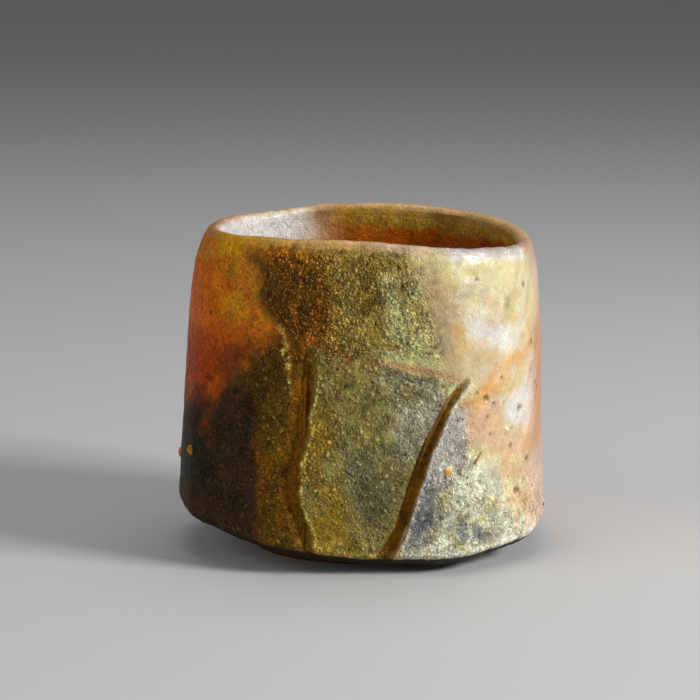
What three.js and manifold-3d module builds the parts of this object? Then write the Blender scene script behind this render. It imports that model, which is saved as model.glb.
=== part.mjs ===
// A small hand-cut stoneware sake cup with a natural ash glaze.
//
// The cup is one fired clay vessel: an oval wall with three knife-cut facets and two gouged grooves on its
// front, a wavy lip, a bevelled lower edge and a ring foot. Fused to it are the glassy patches of ash on the
// facets, the band of ash inside the lip, the glass that has pooled in the grooves, the stones of the coarse clay
// that stand out of its surface, and a chip of kiln grit on the lower edge.
//
// Units are millimetres and degrees. +Z is up, the cup stands on z = 0, and its front faces -Y. An angle round the
// cup starts at the front and grows towards the right (+X). A share is a height on the wall: 0 at its lower edge
// and 1 where the lip begins.
import * as THREE from "three";
import { mergeVertices } from "three/addons/utils/BufferGeometryUtils.js";
import Module from "manifold-3d";

const wasm = await Module();
wasm.setup();

// Plan outline: half sizes of a rounded oval at the wall's lower edge and at the lip
const BASE_HALF_WIDTH = 35.0;
const BASE_FRONT_DEPTH = 32.0;
const BASE_BACK_DEPTH = 31.5;
const LIP_HALF_WIDTH = 32.6;
const LIP_FRONT_DEPTH = 28.0;
const LIP_BACK_DEPTH = 30.5;
const PLAN_POWER = 2.4; // 2 is an ellipse, and a larger power is squarer
const LIP_LEAN = 0.9; // the mouth stands this far to the right of the foot
const WALL_BELLY = 0.15;

// Values at eight places round the cup, 45 degrees apart, from the front towards the right: how far the lip lies
// below its highest place, how far the top of the wall bends in, and the height of the wall's lower edge
const CUP_HEIGHT = 62.3;
const LIP_DROPS = [0.8, 2.6, 3.3, 1.3, 0.0, 1.3, 1.1, 0.4];
const LIP_CURLS = [1.0, 1.0, 1.0, 1.0, 1.0, 1.2, 2.2, 1.3];
const EDGE_HEIGHTS = [3.7, 3.7, 6.6, 6.2, 6.0, 7.2, 9.6, 6.8];
const CURL_POWER = 14; // a larger power bends the wall in later and more sharply

// Walls
const LIP_THICKNESS = 3.2;
const LIP_CROWN = 1.5; // height of the rounded top of the lip
const WALL_THICKNESS = 6.0;
const FLOOR_HEIGHT = 10.0; // top of the clay at the bottom of the bowl
const BOWL_ROUNDING = 15.0; // height of the rounded lower part of the bowl
const BOWL_POWER = 2.4;

// Foot and the bevel cuts above it
const FOOT_RADIUS = 21.0;
const FOOT_RING_WIDTH = 5.0;
const FOOT_RECESS = 1.5;
const FOOT_FLARE = 0.6;
const BEVEL_HEIGHT = 1.6;
const BEVEL_DEPTH = 2.2;
const UNDERCUT_RISE = 0.6; // from the top of the foot out to the bevel

// Knife-cut facets: angle of the cut, share of the wall where it runs out, and its depth at the lower edge
const FACET_SOFTNESS = 0.8;
const FACETS = [
  { angle: -44, top: 0.68, depth: 1.6 },
  { angle: 2, top: 0.64, depth: 1.5 },
  { angle: 42, top: 0.5, depth: 1.3 },
];

// Gouged grooves, as angle and share from their upper end to where they run out below the edge
const GROOVE_TAPER = 0.3; // share of its length over which a groove reaches its full depth
const LEFT_GROOVE = {
  width: 2.6,
  depth: 2.0,
  path: [
    [-18.8, 0.69],
    [-19.8, 0.54],
    [-21.0, 0.4],
    [-23.6, 0.26],
    [-23.4, 0.18],
    [-21.4, 0.11],
    [-18.6, 0.03],
    [-16.0, -0.08],
  ],
};
const RIGHT_GROOVE = {
  width: 2.8,
  depth: 2.2,
  path: [
    [34.8, 0.58],
    [28.0, 0.505],
    [23.2, 0.415],
    [19.0, 0.31],
    [16.0, 0.205],
    [13.2, 0.1],
    [9.4, 0.02],
    [4.6, -0.08],
  ],
};
const GLASS_DEPTH = 0.8; // of the glass pooled in a groove
const GLASS_ENDS = [0.3, 0.8]; // where the pooled glass starts and stops along its groove

// Ash patches: four sides in angle and share, each from left to right or from the bottom up
const SEAT_GAP = 0.3; // between the clay and what is fused to it
const ASH_THICKNESS = 0.6;
const ASH_FEATHER = 0.25; // thickness at a patch's edges
const GROOVE_MARGIN = 0.5; // from a groove's edge to the ash beside it
const LOWEST_ASH = 0.03;
const UPPER_ASH = {
  bottom: [[-30, 0.73], [-22, 0.745], [-13, 0.67], [0, 0.65], [26.5, 0.64]],
  top: [[-38, 0.97], [16, 0.97]],
  left: [[-30, 0.73], [-36, 0.8], [-38, 0.97]],
  right: [[26.5, 0.64], [23.8, 0.78], [16, 0.97]],
};
const CENTRE_ASH_TOP = 0.605;
const RIGHT_ASH_SIDE = [[57, LOWEST_ASH], [48, 0.13], [42, 0.26], [36, 0.41]];
const LEFT_ASH_SIDE = [[-58, LOWEST_ASH], [-61, 0.22], [-52, 0.42], [-43, 0.58], [-35, 0.68]];
const INNER_BAND = { from: 95, to: 195, low: 0.88, high: 0.97 };

// Stones of the clay, and grit from the kiln: place, sizes across, up and out of the wall, and how deep they sit
const STONES = [
  { name: "feldspar_stone_front", angle: 28.8, share: 0.29, size: [1.9, 2.6, 2.2], sunk: 0.0 },
  { name: "feldspar_stone_left_large", angle: -86, share: 0.17, size: [2.0, 2.8, 2.4], sunk: 0.2 },
  { name: "feldspar_stone_left_small", angle: -66, share: 0.22, size: [1.3, 1.7, 1.8], sunk: 0.4 },
  { name: "kiln_grit_chip", angle: 85, share: 0.02, size: [1.4, 3.0, 2.0], sunk: 0.5 },
];

// Fineness of the mesh
const COLUMNS = 72;
const WALL_ROWS = 11;
const LIP_ROWS = 6;
const BOWL_ROWS = 7;
const PATCH_CELLS = 10;
const GROOVE_STEPS = 18;

const CLAY_COLOUR = 0x8a4a1e;
const ASH_COLOUR = 0x7a6d3a;
const DARK_ASH_COLOUR = 0x3a2c14;
const GLASS_COLOUR = 0x4a2a08;
const STONE_COLOUR = 0xc89a5a;

const radians = THREE.MathUtils.degToRad;
const lerp = THREE.MathUtils.lerp;

// The value at an angle of a quantity given at evenly spaced angles, on a closed smooth curve.
function around(values, angle) {
  const count = values.length;
  const place = (((angle / 360) % 1) + 1) * count;
  const i = Math.floor(place);
  const t = place - i;
  const [a, b, c, d] = [-1, 0, 1, 2].map((k) => values[(i + k + count) % count]);
  return b + 0.5 * t * (c - a + t * (2 * a - 5 * b + 4 * c - d + t * (3 * (b - c) + d - a)));
}

// The place at t, from 0 to 1, on a line through points given as [angle, share].
function along(points, t) {
  const place = THREE.MathUtils.clamp(t, 0, 1) * (points.length - 1);
  const i = Math.min(Math.floor(place), points.length - 2);
  return points[i].map((value, axis) => lerp(value, points[i + 1][axis], place - i));
}

// Radius of an oval with different front and back depths, at an angle.
function ovalRadius(angle, halfWidth, frontDepth, backDepth) {
  const sine = Math.abs(Math.sin(radians(angle)));
  const cosine = Math.cos(radians(angle));
  const depth = cosine > 0 ? frontDepth : backDepth;
  return ((sine / halfWidth) ** PLAN_POWER + (Math.abs(cosine) / depth) ** PLAN_POWER) ** (-1 / PLAN_POWER);
}

// Radius of the wall before it was cut, at an angle and a share.
function thrownRadius(angle, share) {
  const low = ovalRadius(angle, BASE_HALF_WIDTH, BASE_FRONT_DEPTH, BASE_BACK_DEPTH);
  const high = ovalRadius(angle, LIP_HALF_WIDTH, LIP_FRONT_DEPTH, LIP_BACK_DEPTH);
  const t = THREE.MathUtils.clamp(share, 0, 1);
  return lerp(low, high, share) + WALL_BELLY * Math.sin(Math.PI * t) - around(LIP_CURLS, angle) * t ** CURL_POWER;
}

// The smaller of two numbers, with the step between them rounded off.
function softMinimum(a, b, softness) {
  const near = Math.max(softness - Math.abs(a - b), 0) / softness;
  return Math.min(a, b) - (near * near * softness) / 4;
}

// Radius of the outside of the wall: the thrown wall, or a facet's flat cut where that lies deeper.
function wallRadius(angle, share) {
  return FACETS.reduce((radius, facet) => {
    const turn = radians(angle - facet.angle);
    if (Math.cos(turn) < 0.5) return radius;
    const atTop = thrownRadius(facet.angle, facet.top);
    const atEdge = thrownRadius(facet.angle, 0) - facet.depth;
    const cut = lerp(atEdge, atTop, share / facet.top) / Math.cos(turn);
    return softMinimum(radius, cut, FACET_SOFTNESS);
  }, thrownRadius(angle, share));
}

const edgeHeight = (angle) => around(EDGE_HEIGHTS, angle);
const lipHeight = (angle) => CUP_HEIGHT - around(LIP_DROPS, angle);
const wallHeight = (angle, share) => lerp(edgeHeight(angle), lipHeight(angle) - LIP_CROWN, share);

// A point at an angle, radius and height. The mouth leans with the share of the wall's height.
function pointAt(angle, radius, height, share) {
  const turn = radians(angle);
  const lean = LIP_LEAN * THREE.MathUtils.clamp(share, 0, 1);
  return new THREE.Vector3(radius * Math.sin(turn) + lean, -radius * Math.cos(turn), height);
}

// A point on the outside of the wall, moved out by an offset.
function wallPoint(angle, share, offset = 0) {
  return pointAt(angle, wallRadius(angle, share) + offset, wallHeight(angle, share), share);
}

// The height of the start of the bowl's rounding, and the radius of the bowl's side at a share.
const roundingTop = FLOOR_HEIGHT + BOWL_ROUNDING;
const bowlSide = (angle, share) => thrownRadius(angle, share) - lerp(WALL_THICKNESS, LIP_THICKNESS, share);
const shareOfHeight = (angle, height) =>
  (height - edgeHeight(angle)) / (lipHeight(angle) - LIP_CROWN - edgeHeight(angle));

// A point on the bowl's side, above its rounding, moved towards the axis by an offset.
function bowlPoint(angle, share, offset = 0) {
  return pointAt(angle, bowlSide(angle, share) - offset, wallHeight(angle, share), share);
}

// The cup's section at an angle, from the middle of the foot, out and over the lip, to the middle of the bowl.
function section(angle) {
  const edge = edgeHeight(angle);
  const underside = edge - BEVEL_HEIGHT;
  const points = [
    pointAt(angle, 0, FOOT_RECESS, 0),
    pointAt(angle, FOOT_RADIUS - FOOT_RING_WIDTH - FOOT_RECESS, FOOT_RECESS, 0),
    pointAt(angle, FOOT_RADIUS - FOOT_RING_WIDTH, 0, 0),
    pointAt(angle, FOOT_RADIUS, 0, 0),
    pointAt(angle, FOOT_RADIUS + FOOT_FLARE, underside - UNDERCUT_RISE, 0),
    pointAt(angle, wallRadius(angle, 0) - BEVEL_DEPTH, underside, 0),
  ];
  for (let row = 0; row <= WALL_ROWS; row++) points.push(wallPoint(angle, row / WALL_ROWS));
  const outside = wallRadius(angle, 1);
  const inside = bowlSide(angle, 1);
  for (let row = 1; row < LIP_ROWS; row++) {
    const turn = (Math.PI * row) / LIP_ROWS;
    const radius = (outside + inside) / 2 + ((outside - inside) / 2) * Math.cos(turn);
    points.push(pointAt(angle, radius, wallHeight(angle, 1) + LIP_CROWN * Math.sin(turn), 1));
  }
  const roundingShare = shareOfHeight(angle, roundingTop);
  for (let row = 0; row <= BOWL_ROWS; row++) points.push(bowlPoint(angle, lerp(1, roundingShare, row / BOWL_ROWS)));
  for (let row = 1; row <= BOWL_ROWS; row++) {
    const turn = (Math.PI / 2) * (row / BOWL_ROWS);
    const radius = bowlSide(angle, roundingShare) * Math.cos(turn) ** (2 / BOWL_POWER);
    const height = roundingTop - BOWL_ROUNDING * Math.sin(turn) ** (2 / BOWL_POWER);
    points.push(pointAt(angle, radius, height, roundingShare));
  }
  return points;
}

// A closed mesh from points and triangles that share them.
function closedMesh(points, triangles) {
  const geometry = new THREE.BufferGeometry().setFromPoints(points);
  geometry.setIndex(triangles);
  return geometry;
}

// The two triangles of a four-sided cell, its corners given anticlockwise from outside.
const cell = (a, b, c, d) => [a, b, c, a, c, d];

// The whole vessel as one skin: sections side by side, drawn to a point in the middle of the foot and of the bowl.
function vesselGeometry() {
  const sections = Array.from({ length: COLUMNS }, (_, i) => section((360 * i) / COLUMNS));
  const rows = sections[0].length - 2;
  const mean = (row) =>
    sections.reduce((sum, points) => sum.add(points[row]), new THREE.Vector3()).divideScalar(COLUMNS);
  const points = [...sections.flatMap((s) => s.slice(1, -1)), mean(0), mean(rows + 1)];
  const [footMiddle, bowlMiddle] = [COLUMNS * rows, COLUMNS * rows + 1];
  const triangles = [];
  for (let i = 0; i < COLUMNS; i++) {
    const here = i * rows;
    const next = ((i + 1) % COLUMNS) * rows;
    triangles.push(footMiddle, next, here);
    for (let row = 0; row < rows - 1; row++) {
      triangles.push(...cell(here + row, next + row, next + row + 1, here + row + 1));
    }
    triangles.push(bowlMiddle, here + rows - 1, next + rows - 1);
  }
  return closedMesh(points, triangles);
}

// A sheet with thickness, from two grids of points of the same size: its outer face and its seat.
function slabGeometry(columns, rows, outer, seat) {
  const count = (columns + 1) * (rows + 1);
  const at = (i, j) => i * (rows + 1) + j;
  const triangles = [];
  for (let i = 0; i < columns; i++) {
    for (let j = 0; j < rows; j++) {
      const corners = [at(i, j), at(i + 1, j), at(i + 1, j + 1), at(i, j + 1)];
      triangles.push(...cell(...corners), ...cell(...corners.map((k) => k + count).reverse()));
    }
  }
  const border = [];
  for (let i = 0; i < columns; i++) border.push(at(i, 0));
  for (let j = 0; j < rows; j++) border.push(at(columns, j));
  for (let i = columns; i > 0; i--) border.push(at(i, rows));
  for (let j = rows; j > 0; j--) border.push(at(0, j));
  border.forEach((here, k) => {
    const next = border[(k + 1) % border.length];
    triangles.push(...cell(next, here, here + count, next + count));
  });
  return closedMesh([...outer, ...seat], triangles);
}

// An ash patch: a sheet on the wall between four lines, thinner towards its edges.
function patchGeometry({ bottom, top, left, right }, surface, columns = PATCH_CELLS, rows = PATCH_CELLS) {
  const outer = [];
  const seat = [];
  const corner = [along(bottom, 0), along(bottom, 1), along(top, 0), along(top, 1)];
  for (let i = 0; i <= columns; i++) {
    for (let j = 0; j <= rows; j++) {
      const [u, v] = [i / columns, j / rows];
      const sides = [along(bottom, u), along(top, u), along(left, v), along(right, v)];
      const [angle, share] = [0, 1].map(
        (axis) =>
          lerp(sides[0][axis], sides[1][axis], v) +
          lerp(sides[2][axis], sides[3][axis], u) -
          lerp(lerp(corner[0][axis], corner[1][axis], u), lerp(corner[2][axis], corner[3][axis], u), v),
      );
      const onEdge = i === 0 || j === 0 || i === columns || j === rows;
      seat.push(surface(angle, share, SEAT_GAP));
      outer.push(surface(angle, share, SEAT_GAP + (onEdge ? ASH_FEATHER : ASH_THICKNESS)));
    }
  }
  return slabGeometry(columns, rows, outer, seat);
}

// A line beside a groove, one side of it, clear of its edge by the margin.
function besideGroove(groove, side, from, to) {
  return Array.from({ length: PATCH_CELLS + 1 }, (_, i) => {
    const [angle, share] = grooveAt(groove, lerp(from, to, i / PATCH_CELLS));
    const reach = groove.width / 2 + GROOVE_MARGIN;
    return [angle + (side * THREE.MathUtils.radToDeg(reach)) / wallRadius(angle, share), share];
  });
}

// The place, as angle and share, at t along a groove's smooth path.
function grooveAt(groove, t) {
  const curve = new THREE.SplineCurve(groove.path.map(([angle, share]) => new THREE.Vector2(angle, share)));
  const place = curve.getPoint(t);
  return [place.x, place.y];
}

// How far along a groove it passes a share of the wall's height.
function grooveReaches(groove, share) {
  let [low, high] = [0, 1];
  for (let step = 0; step < 40; step++) {
    const middle = (low + high) / 2;
    if (grooveAt(groove, middle)[1] > share) low = middle;
    else high = middle;
  }
  return low;
}

// A bar along a groove: at each step a flat-bottomed section between two depths, with the groove's sloping sides
// moved in by a clearance.
function grooveBar(groove, from, to, bottomOf, topOf, clearance) {
  const rings = [];
  for (let step = 0; step <= GROOVE_STEPS; step++) {
    const t = lerp(from, to, step / GROOVE_STEPS);
    const [angle, share] = grooveAt(groove, t);
    const depth = groove.depth * THREE.MathUtils.clamp(t / GROOVE_TAPER, 0.3, 1);
    const [low, high] = [bottomOf(depth), topOf(depth)];
    const halfWidth = (level) => (groove.width / 2) * lerp(0.4, 1, 1 + level / depth) - clearance;
    const turn = (level) => THREE.MathUtils.radToDeg(halfWidth(level) / wallRadius(angle, share));
    rings.push([
      wallPoint(angle - turn(low), share, low),
      wallPoint(angle + turn(low), share, low),
      wallPoint(angle + turn(high), share, high),
      wallPoint(angle - turn(high), share, high),
    ]);
  }
  const triangles = [];
  for (let step = 0; step < GROOVE_STEPS; step++) {
    for (let k = 0; k < 4; k++) {
      const [here, next] = [step * 4, step * 4 + 4];
      const other = (k + 1) % 4;
      triangles.push(...cell(here + k, here + other, next + other, next + k));
    }
  }
  const last = GROOVE_STEPS * 4;
  triangles.push(...cell(3, 2, 1, 0), ...cell(last, last + 1, last + 2, last + 3));
  return closedMesh(rings.flat(), triangles);
}

// A rounded lump on the wall, larger all over by an extra.
function stoneGeometry({ angle, share, size, sunk }, extra = 0) {
  const geometry = new THREE.SphereGeometry(0.5, 10, 7);
  geometry.scale(...size.map((s) => s + 2 * extra));
  geometry.rotateX(Math.PI / 2);
  geometry.rotateZ(radians(angle));
  const centre = wallPoint(angle, share, -sunk);
  return geometry.translate(centre.x, centre.y, centre.z);
}

// A solid for joining and cutting, from a closed geometry.
function solid(geometry) {
  const bare = geometry.clone();
  bare.deleteAttribute("normal");
  bare.deleteAttribute("uv");
  const merged = mergeVertices(bare, 1e-4);
  const mesh = { numProp: 3, vertProperties: merged.attributes.position.array };
  return new wasm.Manifold(new wasm.Mesh({ ...mesh, triVerts: new Uint32Array(merged.index.array) }));
}

// A geometry from a solid.
function geometryOf(made) {
  const mesh = made.getMesh();
  const geometry = new THREE.BufferGeometry();
  geometry.setAttribute("position", new THREE.BufferAttribute(mesh.vertProperties, mesh.numProp));
  geometry.setIndex(new THREE.BufferAttribute(mesh.triVerts, 1));
  return geometry;
}

const cup = new THREE.Group();

// Adds a named piece to the cup.
function add(name, geometry, color, roughness) {
  geometry.computeVertexNormals();
  const mesh = new THREE.Mesh(geometry, new THREE.MeshStandardMaterial({ color, roughness, metalness: 0 }));
  mesh.name = name;
  cup.add(mesh);
}

// The clay vessel, with its grooves and the sockets of its stones
const CUTTER_REACH = 4; // how far a groove's cutter stands out of the wall
const sockets = STONES.map((stone) => solid(stoneGeometry(stone, SEAT_GAP)));
let vessel = solid(vesselGeometry());
for (const groove of [LEFT_GROOVE, RIGHT_GROOVE]) {
  vessel = vessel.subtract(solid(grooveBar(groove, 0, 1, (depth) => -depth, () => CUTTER_REACH, 0)));
}
for (const socket of sockets) vessel = vessel.subtract(socket);
add("clay_body", geometryOf(vessel), CLAY_COLOUR, 0.6);

// The ash patches on the front
const fromEdge = (groove) => grooveReaches(groove, LOWEST_ASH);
const rightLip = besideGroove(RIGHT_GROOVE, 1, fromEdge(RIGHT_GROOVE), GROOVE_TAPER / 2);
const centreRight = besideGroove(RIGHT_GROOVE, -1, fromEdge(RIGHT_GROOVE), 0);
const centreLeft = besideGroove(LEFT_GROOVE, 1, fromEdge(LEFT_GROOVE), grooveReaches(LEFT_GROOVE, CENTRE_ASH_TOP));
const leftLip = besideGroove(LEFT_GROOVE, -1, fromEdge(LEFT_GROOVE), 0);
const ends = (a, b) => [a.at(-1), b.at(-1)];
const starts = (a, b) => [a[0], b[0]];
const patches = {
  ash_glaze_upper: UPPER_ASH,
  ash_glaze_centre: {
    bottom: starts(centreLeft, centreRight),
    top: ends(centreLeft, centreRight),
    left: centreLeft,
    right: centreRight,
  },
  ash_glaze_left: {
    bottom: starts(LEFT_ASH_SIDE, leftLip),
    top: ends(LEFT_ASH_SIDE, leftLip),
    left: LEFT_ASH_SIDE,
    right: leftLip,
  },
  ash_glaze_right: {
    bottom: starts(rightLip, RIGHT_ASH_SIDE),
    top: ends(rightLip, RIGHT_ASH_SIDE),
    left: rightLip,
    right: RIGHT_ASH_SIDE,
  },
};
for (const [name, sides] of Object.entries(patches)) {
  let made = solid(patchGeometry(sides, wallPoint));
  for (const socket of sockets) made = made.subtract(socket);
  add(name, geometryOf(made), name === "ash_glaze_left" ? DARK_ASH_COLOUR : ASH_COLOUR, 0.4);
}

// The band of ash inside the lip. Its grid runs the other way round, so that it faces the bowl.
const { from, to, low, high } = INNER_BAND;
const band = {
  bottom: [[to, low], [from, low]],
  top: [[to, high], [from, high]],
  left: [[to, low], [to, high]],
  right: [[from, low], [from, high]],
};
add("ash_glaze_inner_band", patchGeometry(band, bowlPoint, 2 * PATCH_CELLS, 4), ASH_COLOUR, 0.35);

// The glass in the grooves
for (const [name, groove] of Object.entries({ groove_glass_left: LEFT_GROOVE, groove_glass_right: RIGHT_GROOVE })) {
  const bottom = (depth) => SEAT_GAP - depth;
  const top = (depth) => SEAT_GAP + GLASS_DEPTH - depth;
  add(name, grooveBar(groove, ...GLASS_ENDS, bottom, top, SEAT_GAP), GLASS_COLOUR, 0.2);
}

// The stones and the grit
for (const stone of STONES) add(stone.name, stoneGeometry(stone), STONE_COLOUR, 0.5);

export default cup;
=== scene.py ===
"""Visual model of a hand-cut stoneware sake cup with a natural ash glaze.

The cup is worked out in millimetres on its wall's own coordinates. An angle starts at the front (-Y) and
grows towards the right (+X), in degrees. A share is a height on the wall: 0 at its lower edge and 1 where
the lip begins. Meshes are put into the scene in metres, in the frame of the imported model.
"""

import logging
import math
from dataclasses import dataclass
from enum import Enum

import bpy
import numpy as np
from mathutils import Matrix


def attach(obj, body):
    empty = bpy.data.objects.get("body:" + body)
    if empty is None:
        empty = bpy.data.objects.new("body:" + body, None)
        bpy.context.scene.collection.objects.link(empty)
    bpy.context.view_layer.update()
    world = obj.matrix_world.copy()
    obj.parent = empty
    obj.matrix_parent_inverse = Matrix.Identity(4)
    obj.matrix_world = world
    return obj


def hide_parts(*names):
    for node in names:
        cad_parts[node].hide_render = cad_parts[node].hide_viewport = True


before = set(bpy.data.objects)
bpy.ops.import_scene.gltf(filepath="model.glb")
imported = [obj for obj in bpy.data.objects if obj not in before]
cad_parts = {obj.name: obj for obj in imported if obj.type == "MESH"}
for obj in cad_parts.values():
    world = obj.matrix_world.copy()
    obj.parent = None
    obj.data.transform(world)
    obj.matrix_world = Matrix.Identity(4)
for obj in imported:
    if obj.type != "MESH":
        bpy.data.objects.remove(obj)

Array = np.ndarray
Line = tuple[tuple[float, float], ...]
Dents = tuple[tuple[float, float, int], ...]  # rise and size in millimetres, and seed, of each noise
Socket = bpy.types.NodeSocket
LOG = logging.getLogger("sake_cup")
MM = 0.001
DEGREE_MM = 0.56  # length of one degree along the wall, for measuring on its unrolled surface
SHARE_MM = 56.0  # length of the whole wall's height, for the same
NOISE_PER_M = {"broad": 260.0, "middle": 1100.0, "hide": 1700.0, "fine": 3600.0}  # noise cells in a metre
PLACE_FACTORS = (374761393, 668265263, 1440662683)  # large odd numbers that spread places over a word
SEED_FACTOR = 127412617
MIX_STEPS = ((13, 1103515245), (16, 668265263))  # shift and factor of each step that mixes the bits
LAST_SHIFT = 15
WORD = 0xFFFFFFFF
RING_ENDS = [-1, 0]  # the last and the first point of a ring
COAT_ROUGHNESS = 0.3
SPECULAR_LEVEL = 0.1
WARM_SHINE = (1.0, 0.76, 0.4, 1.0)


def scatter(i: Array, j: Array, k: Array, seed: int) -> Array:
    """Spreads whole-number places evenly over 0 to 1 by an integer hash.

    Args:
        i, j, k: whole-number places.
        seed: picks another spread.

    Returns:
        Numbers from 0 to 1, of the places' shape.
    """
    spread = sum(part.astype(np.int64) * factor for part, factor in zip((i, j, k), PLACE_FACTORS))
    mixed = (spread + seed * SEED_FACTOR) & WORD
    for shift, factor in MIX_STEPS:
        mixed = ((mixed ^ (mixed >> shift)) * factor) & WORD
    return (mixed ^ (mixed >> LAST_SHIFT)) / WORD


def soft_noise(place: Array, size: float, seed: int) -> Array:
    """Smooth noise from -1 to 1: random values at the corners of cubic cells, blended by 3t^2 - 2t^3.

    Args:
        place: points, shape (..., 3), in millimetres.
        size: edge of a cell, in millimetres.
        seed: picks another noise.

    Returns:
        The noise at each point, shape (...).
    """
    cell = np.floor(place / size).astype(np.int64)
    t = place / size - cell
    t = t * t * (3 - 2 * t)
    total = np.zeros(place.shape[:-1])
    for corner in np.ndindex(2, 2, 2):
        weight = np.prod(np.where(np.array(corner) == 1, t, 1 - t), axis=-1)
        total += weight * scatter(*np.moveaxis(cell + corner, -1, 0), seed)
    return 2 * total - 1


def layered_noise(place: Array, size: float, seed: int, layers: int = 3, keep: float = 0.5) -> Array:
    """Sum of noises from about -1 to 1, each half as large as the one before and keep times as strong."""
    total = sum(soft_noise(place, size / 2**n, seed + n) * keep**n for n in range(layers))
    return total / sum(keep**n for n in range(layers))


def smooth_step(low: float | Array, high: float | Array, value: Array) -> Array:
    """Goes from 0 at low to 1 at high along 3t^2 - 2t^3."""
    t = np.clip((value - low) / (high - low), 0, 1)
    return t * t * (3 - 2 * t)


def grains(
    across: Array, up: Array, spacing: float, radius: float, share: Array | float, seed: int
) -> tuple[Array, Array]:
    """Rounded grains scattered on a surface, one at most in each square cell.

    A grain of radius r stands r * (1 - d^2 / r^2) high at distance d from its middle, where d is measured on
    an oval that leans its own way. Radii run from 0.4 to 1 of the largest.

    Args:
        across, up: unrolled places on the surface, in millimetres.
        spacing: edge of a cell, in millimetres.
        radius: largest radius, in millimetres.
        share: share of the cells that hold a grain.
        seed: picks another scatter.

    Returns:
        Heights in millimetres, and a random tone from 0 to 1 of the grain that stands highest there.
    """
    i, j = np.floor(across / spacing), np.floor(up / spacing)
    best, tone = np.zeros_like(across), np.full_like(across, 0.5)
    for step in np.ndindex(3, 3):
        ci, cj = i + step[0] - 1, j + step[1] - 1
        shift = [scatter(ci, cj, np.full_like(ci, n), seed) for n in range(5)]
        reach = radius * (0.4 + 0.6 * shift[2]) * (shift[3] < share)
        x, y = across - (ci + shift[0]) * spacing, up - (cj + shift[1]) * spacing
        gap = 1.1 * x**2 + 0.8 * y**2 + 1.2 * (shift[4] - 0.5) * x * y
        high = np.maximum(reach - gap / np.maximum(reach, 1e-6), 0)
        tone = np.where(high > best, shift[4], tone)
        best = np.maximum(best, high)
    return best, tone


def blend(first: Array, second: Array, mask: Array) -> Array:
    """Colours mixed by a mask of one number a place."""
    return first + (second - first) * mask[..., None]


def dented(place: Array, dents: Dents) -> Array:
    """Unevenness of a surface in millimetres: the sum of its noises."""
    return sum(rise * soft_noise(place, size, seed) for rise, size, seed in dents)


def spline(a: Array, b: Array, c: Array, d: Array, t: Array) -> Array:
    """Smooth curve from b at t = 0 to c at t = 1, with the slopes (c - a) / 2 and (d - b) / 2 there."""
    return b + 0.5 * t * (c - a + t * (2 * a - 5 * b + 4 * c - d + t * (3 * (b - c) + d - a)))


def around(values: tuple, angle: Array) -> Array:
    """Value at an angle of a quantity given at evenly spaced angles, on a closed smooth curve.

    Args:
        values: the quantity at each angle, numbers or colours.
        angle: where it is wanted, in degrees.

    Returns:
        The quantity at each angle.
    """
    table = np.asarray(values, float)
    where = (angle / 360 % 1) * len(table)
    i = np.floor(where).astype(int)
    t = where - i
    t = t[(...,) + (None,) * (table.ndim - 1)]
    return spline(*(table[(i + k) % len(table)] for k in (-1, 0, 1, 2)), t)


def unrolled(line: Line | Array) -> Array:
    """Points given as angle and share, in millimetres on the unrolled wall."""
    return np.asarray(line, float) * (DEGREE_MM, SHARE_MM)


def line_gap(across: Array, up: Array, line: Array) -> tuple[Array, Array]:
    """Distance to an open line of straight pieces, and how far along it the nearest point lies.

    Args:
        across, up: unrolled places, in millimetres.
        line: corners of the line, shape (n, 2), in millimetres.

    Returns:
        Distances, positive on the right of the line's direction, and shares of the line's length.
    """
    start, run = line[:-1], np.diff(line, axis=0)
    length = np.linalg.norm(run, axis=1)
    apart = np.stack([across, up], -1)[..., None, :] - start
    t = np.clip((apart * run).sum(-1) / length**2, 0, 1)
    gap = np.linalg.norm(apart - t[..., None] * run, axis=-1)
    nearest = gap.argmin(-1)[..., None]
    side = np.sign(apart[..., 0] * run[:, 1] - apart[..., 1] * run[:, 0])
    travelled = (np.concatenate([[0], np.cumsum(length)[:-1]]) + t * length) / length.sum()
    picked = [np.take_along_axis(x, nearest, -1)[..., 0] for x in (gap, side, travelled)]
    return picked[0] * np.where(picked[1] == 0, 1, picked[1]), picked[2]


def outline_gap(across: Array, up: Array, outline: Array) -> Array:
    """Distance to a closed outline, positive inside it.

    A place is inside where a ray to the right crosses the outline an odd number of times.

    Args:
        across, up: unrolled places, in millimetres.
        outline: corners, shape (n, 2), in millimetres.

    Returns:
        Signed distances in millimetres.
    """
    after = np.roll(outline, -1, axis=0)
    gap, _ = line_gap(across, up, np.vstack([outline, outline[:1]]))
    x, y = across[..., None], up[..., None]
    rise = after[:, 1] - outline[:, 1]
    rise = np.where(rise == 0, 1e-9, rise)
    cross = outline[:, 0] + (y - outline[:, 1]) * (after[:, 0] - outline[:, 0]) / rise
    hits = ((outline[:, 1] > y) != (after[:, 1] > y)) & (x < cross)
    return np.where(hits.sum(-1) % 2 == 1, 1, -1) * np.abs(gap)


def curve_through(points: Line, count: int) -> Array:
    """Points on a smooth curve through given points, with its ends repeated.

    Args:
        points: the points it passes through.
        count: how many points are wanted.

    Returns:
        Points evenly spaced in the curve's parameter, shape (count, 2).
    """
    table = np.asarray(points, float)
    padded = np.vstack([table[:1], table, table[-1:]])
    where = np.linspace(0, len(table) - 1, count)
    i = np.minimum(where.astype(int), len(table) - 2)
    t = (where - i)[:, None]
    return spline(*(padded[i + k] for k in range(4)), t)


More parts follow.
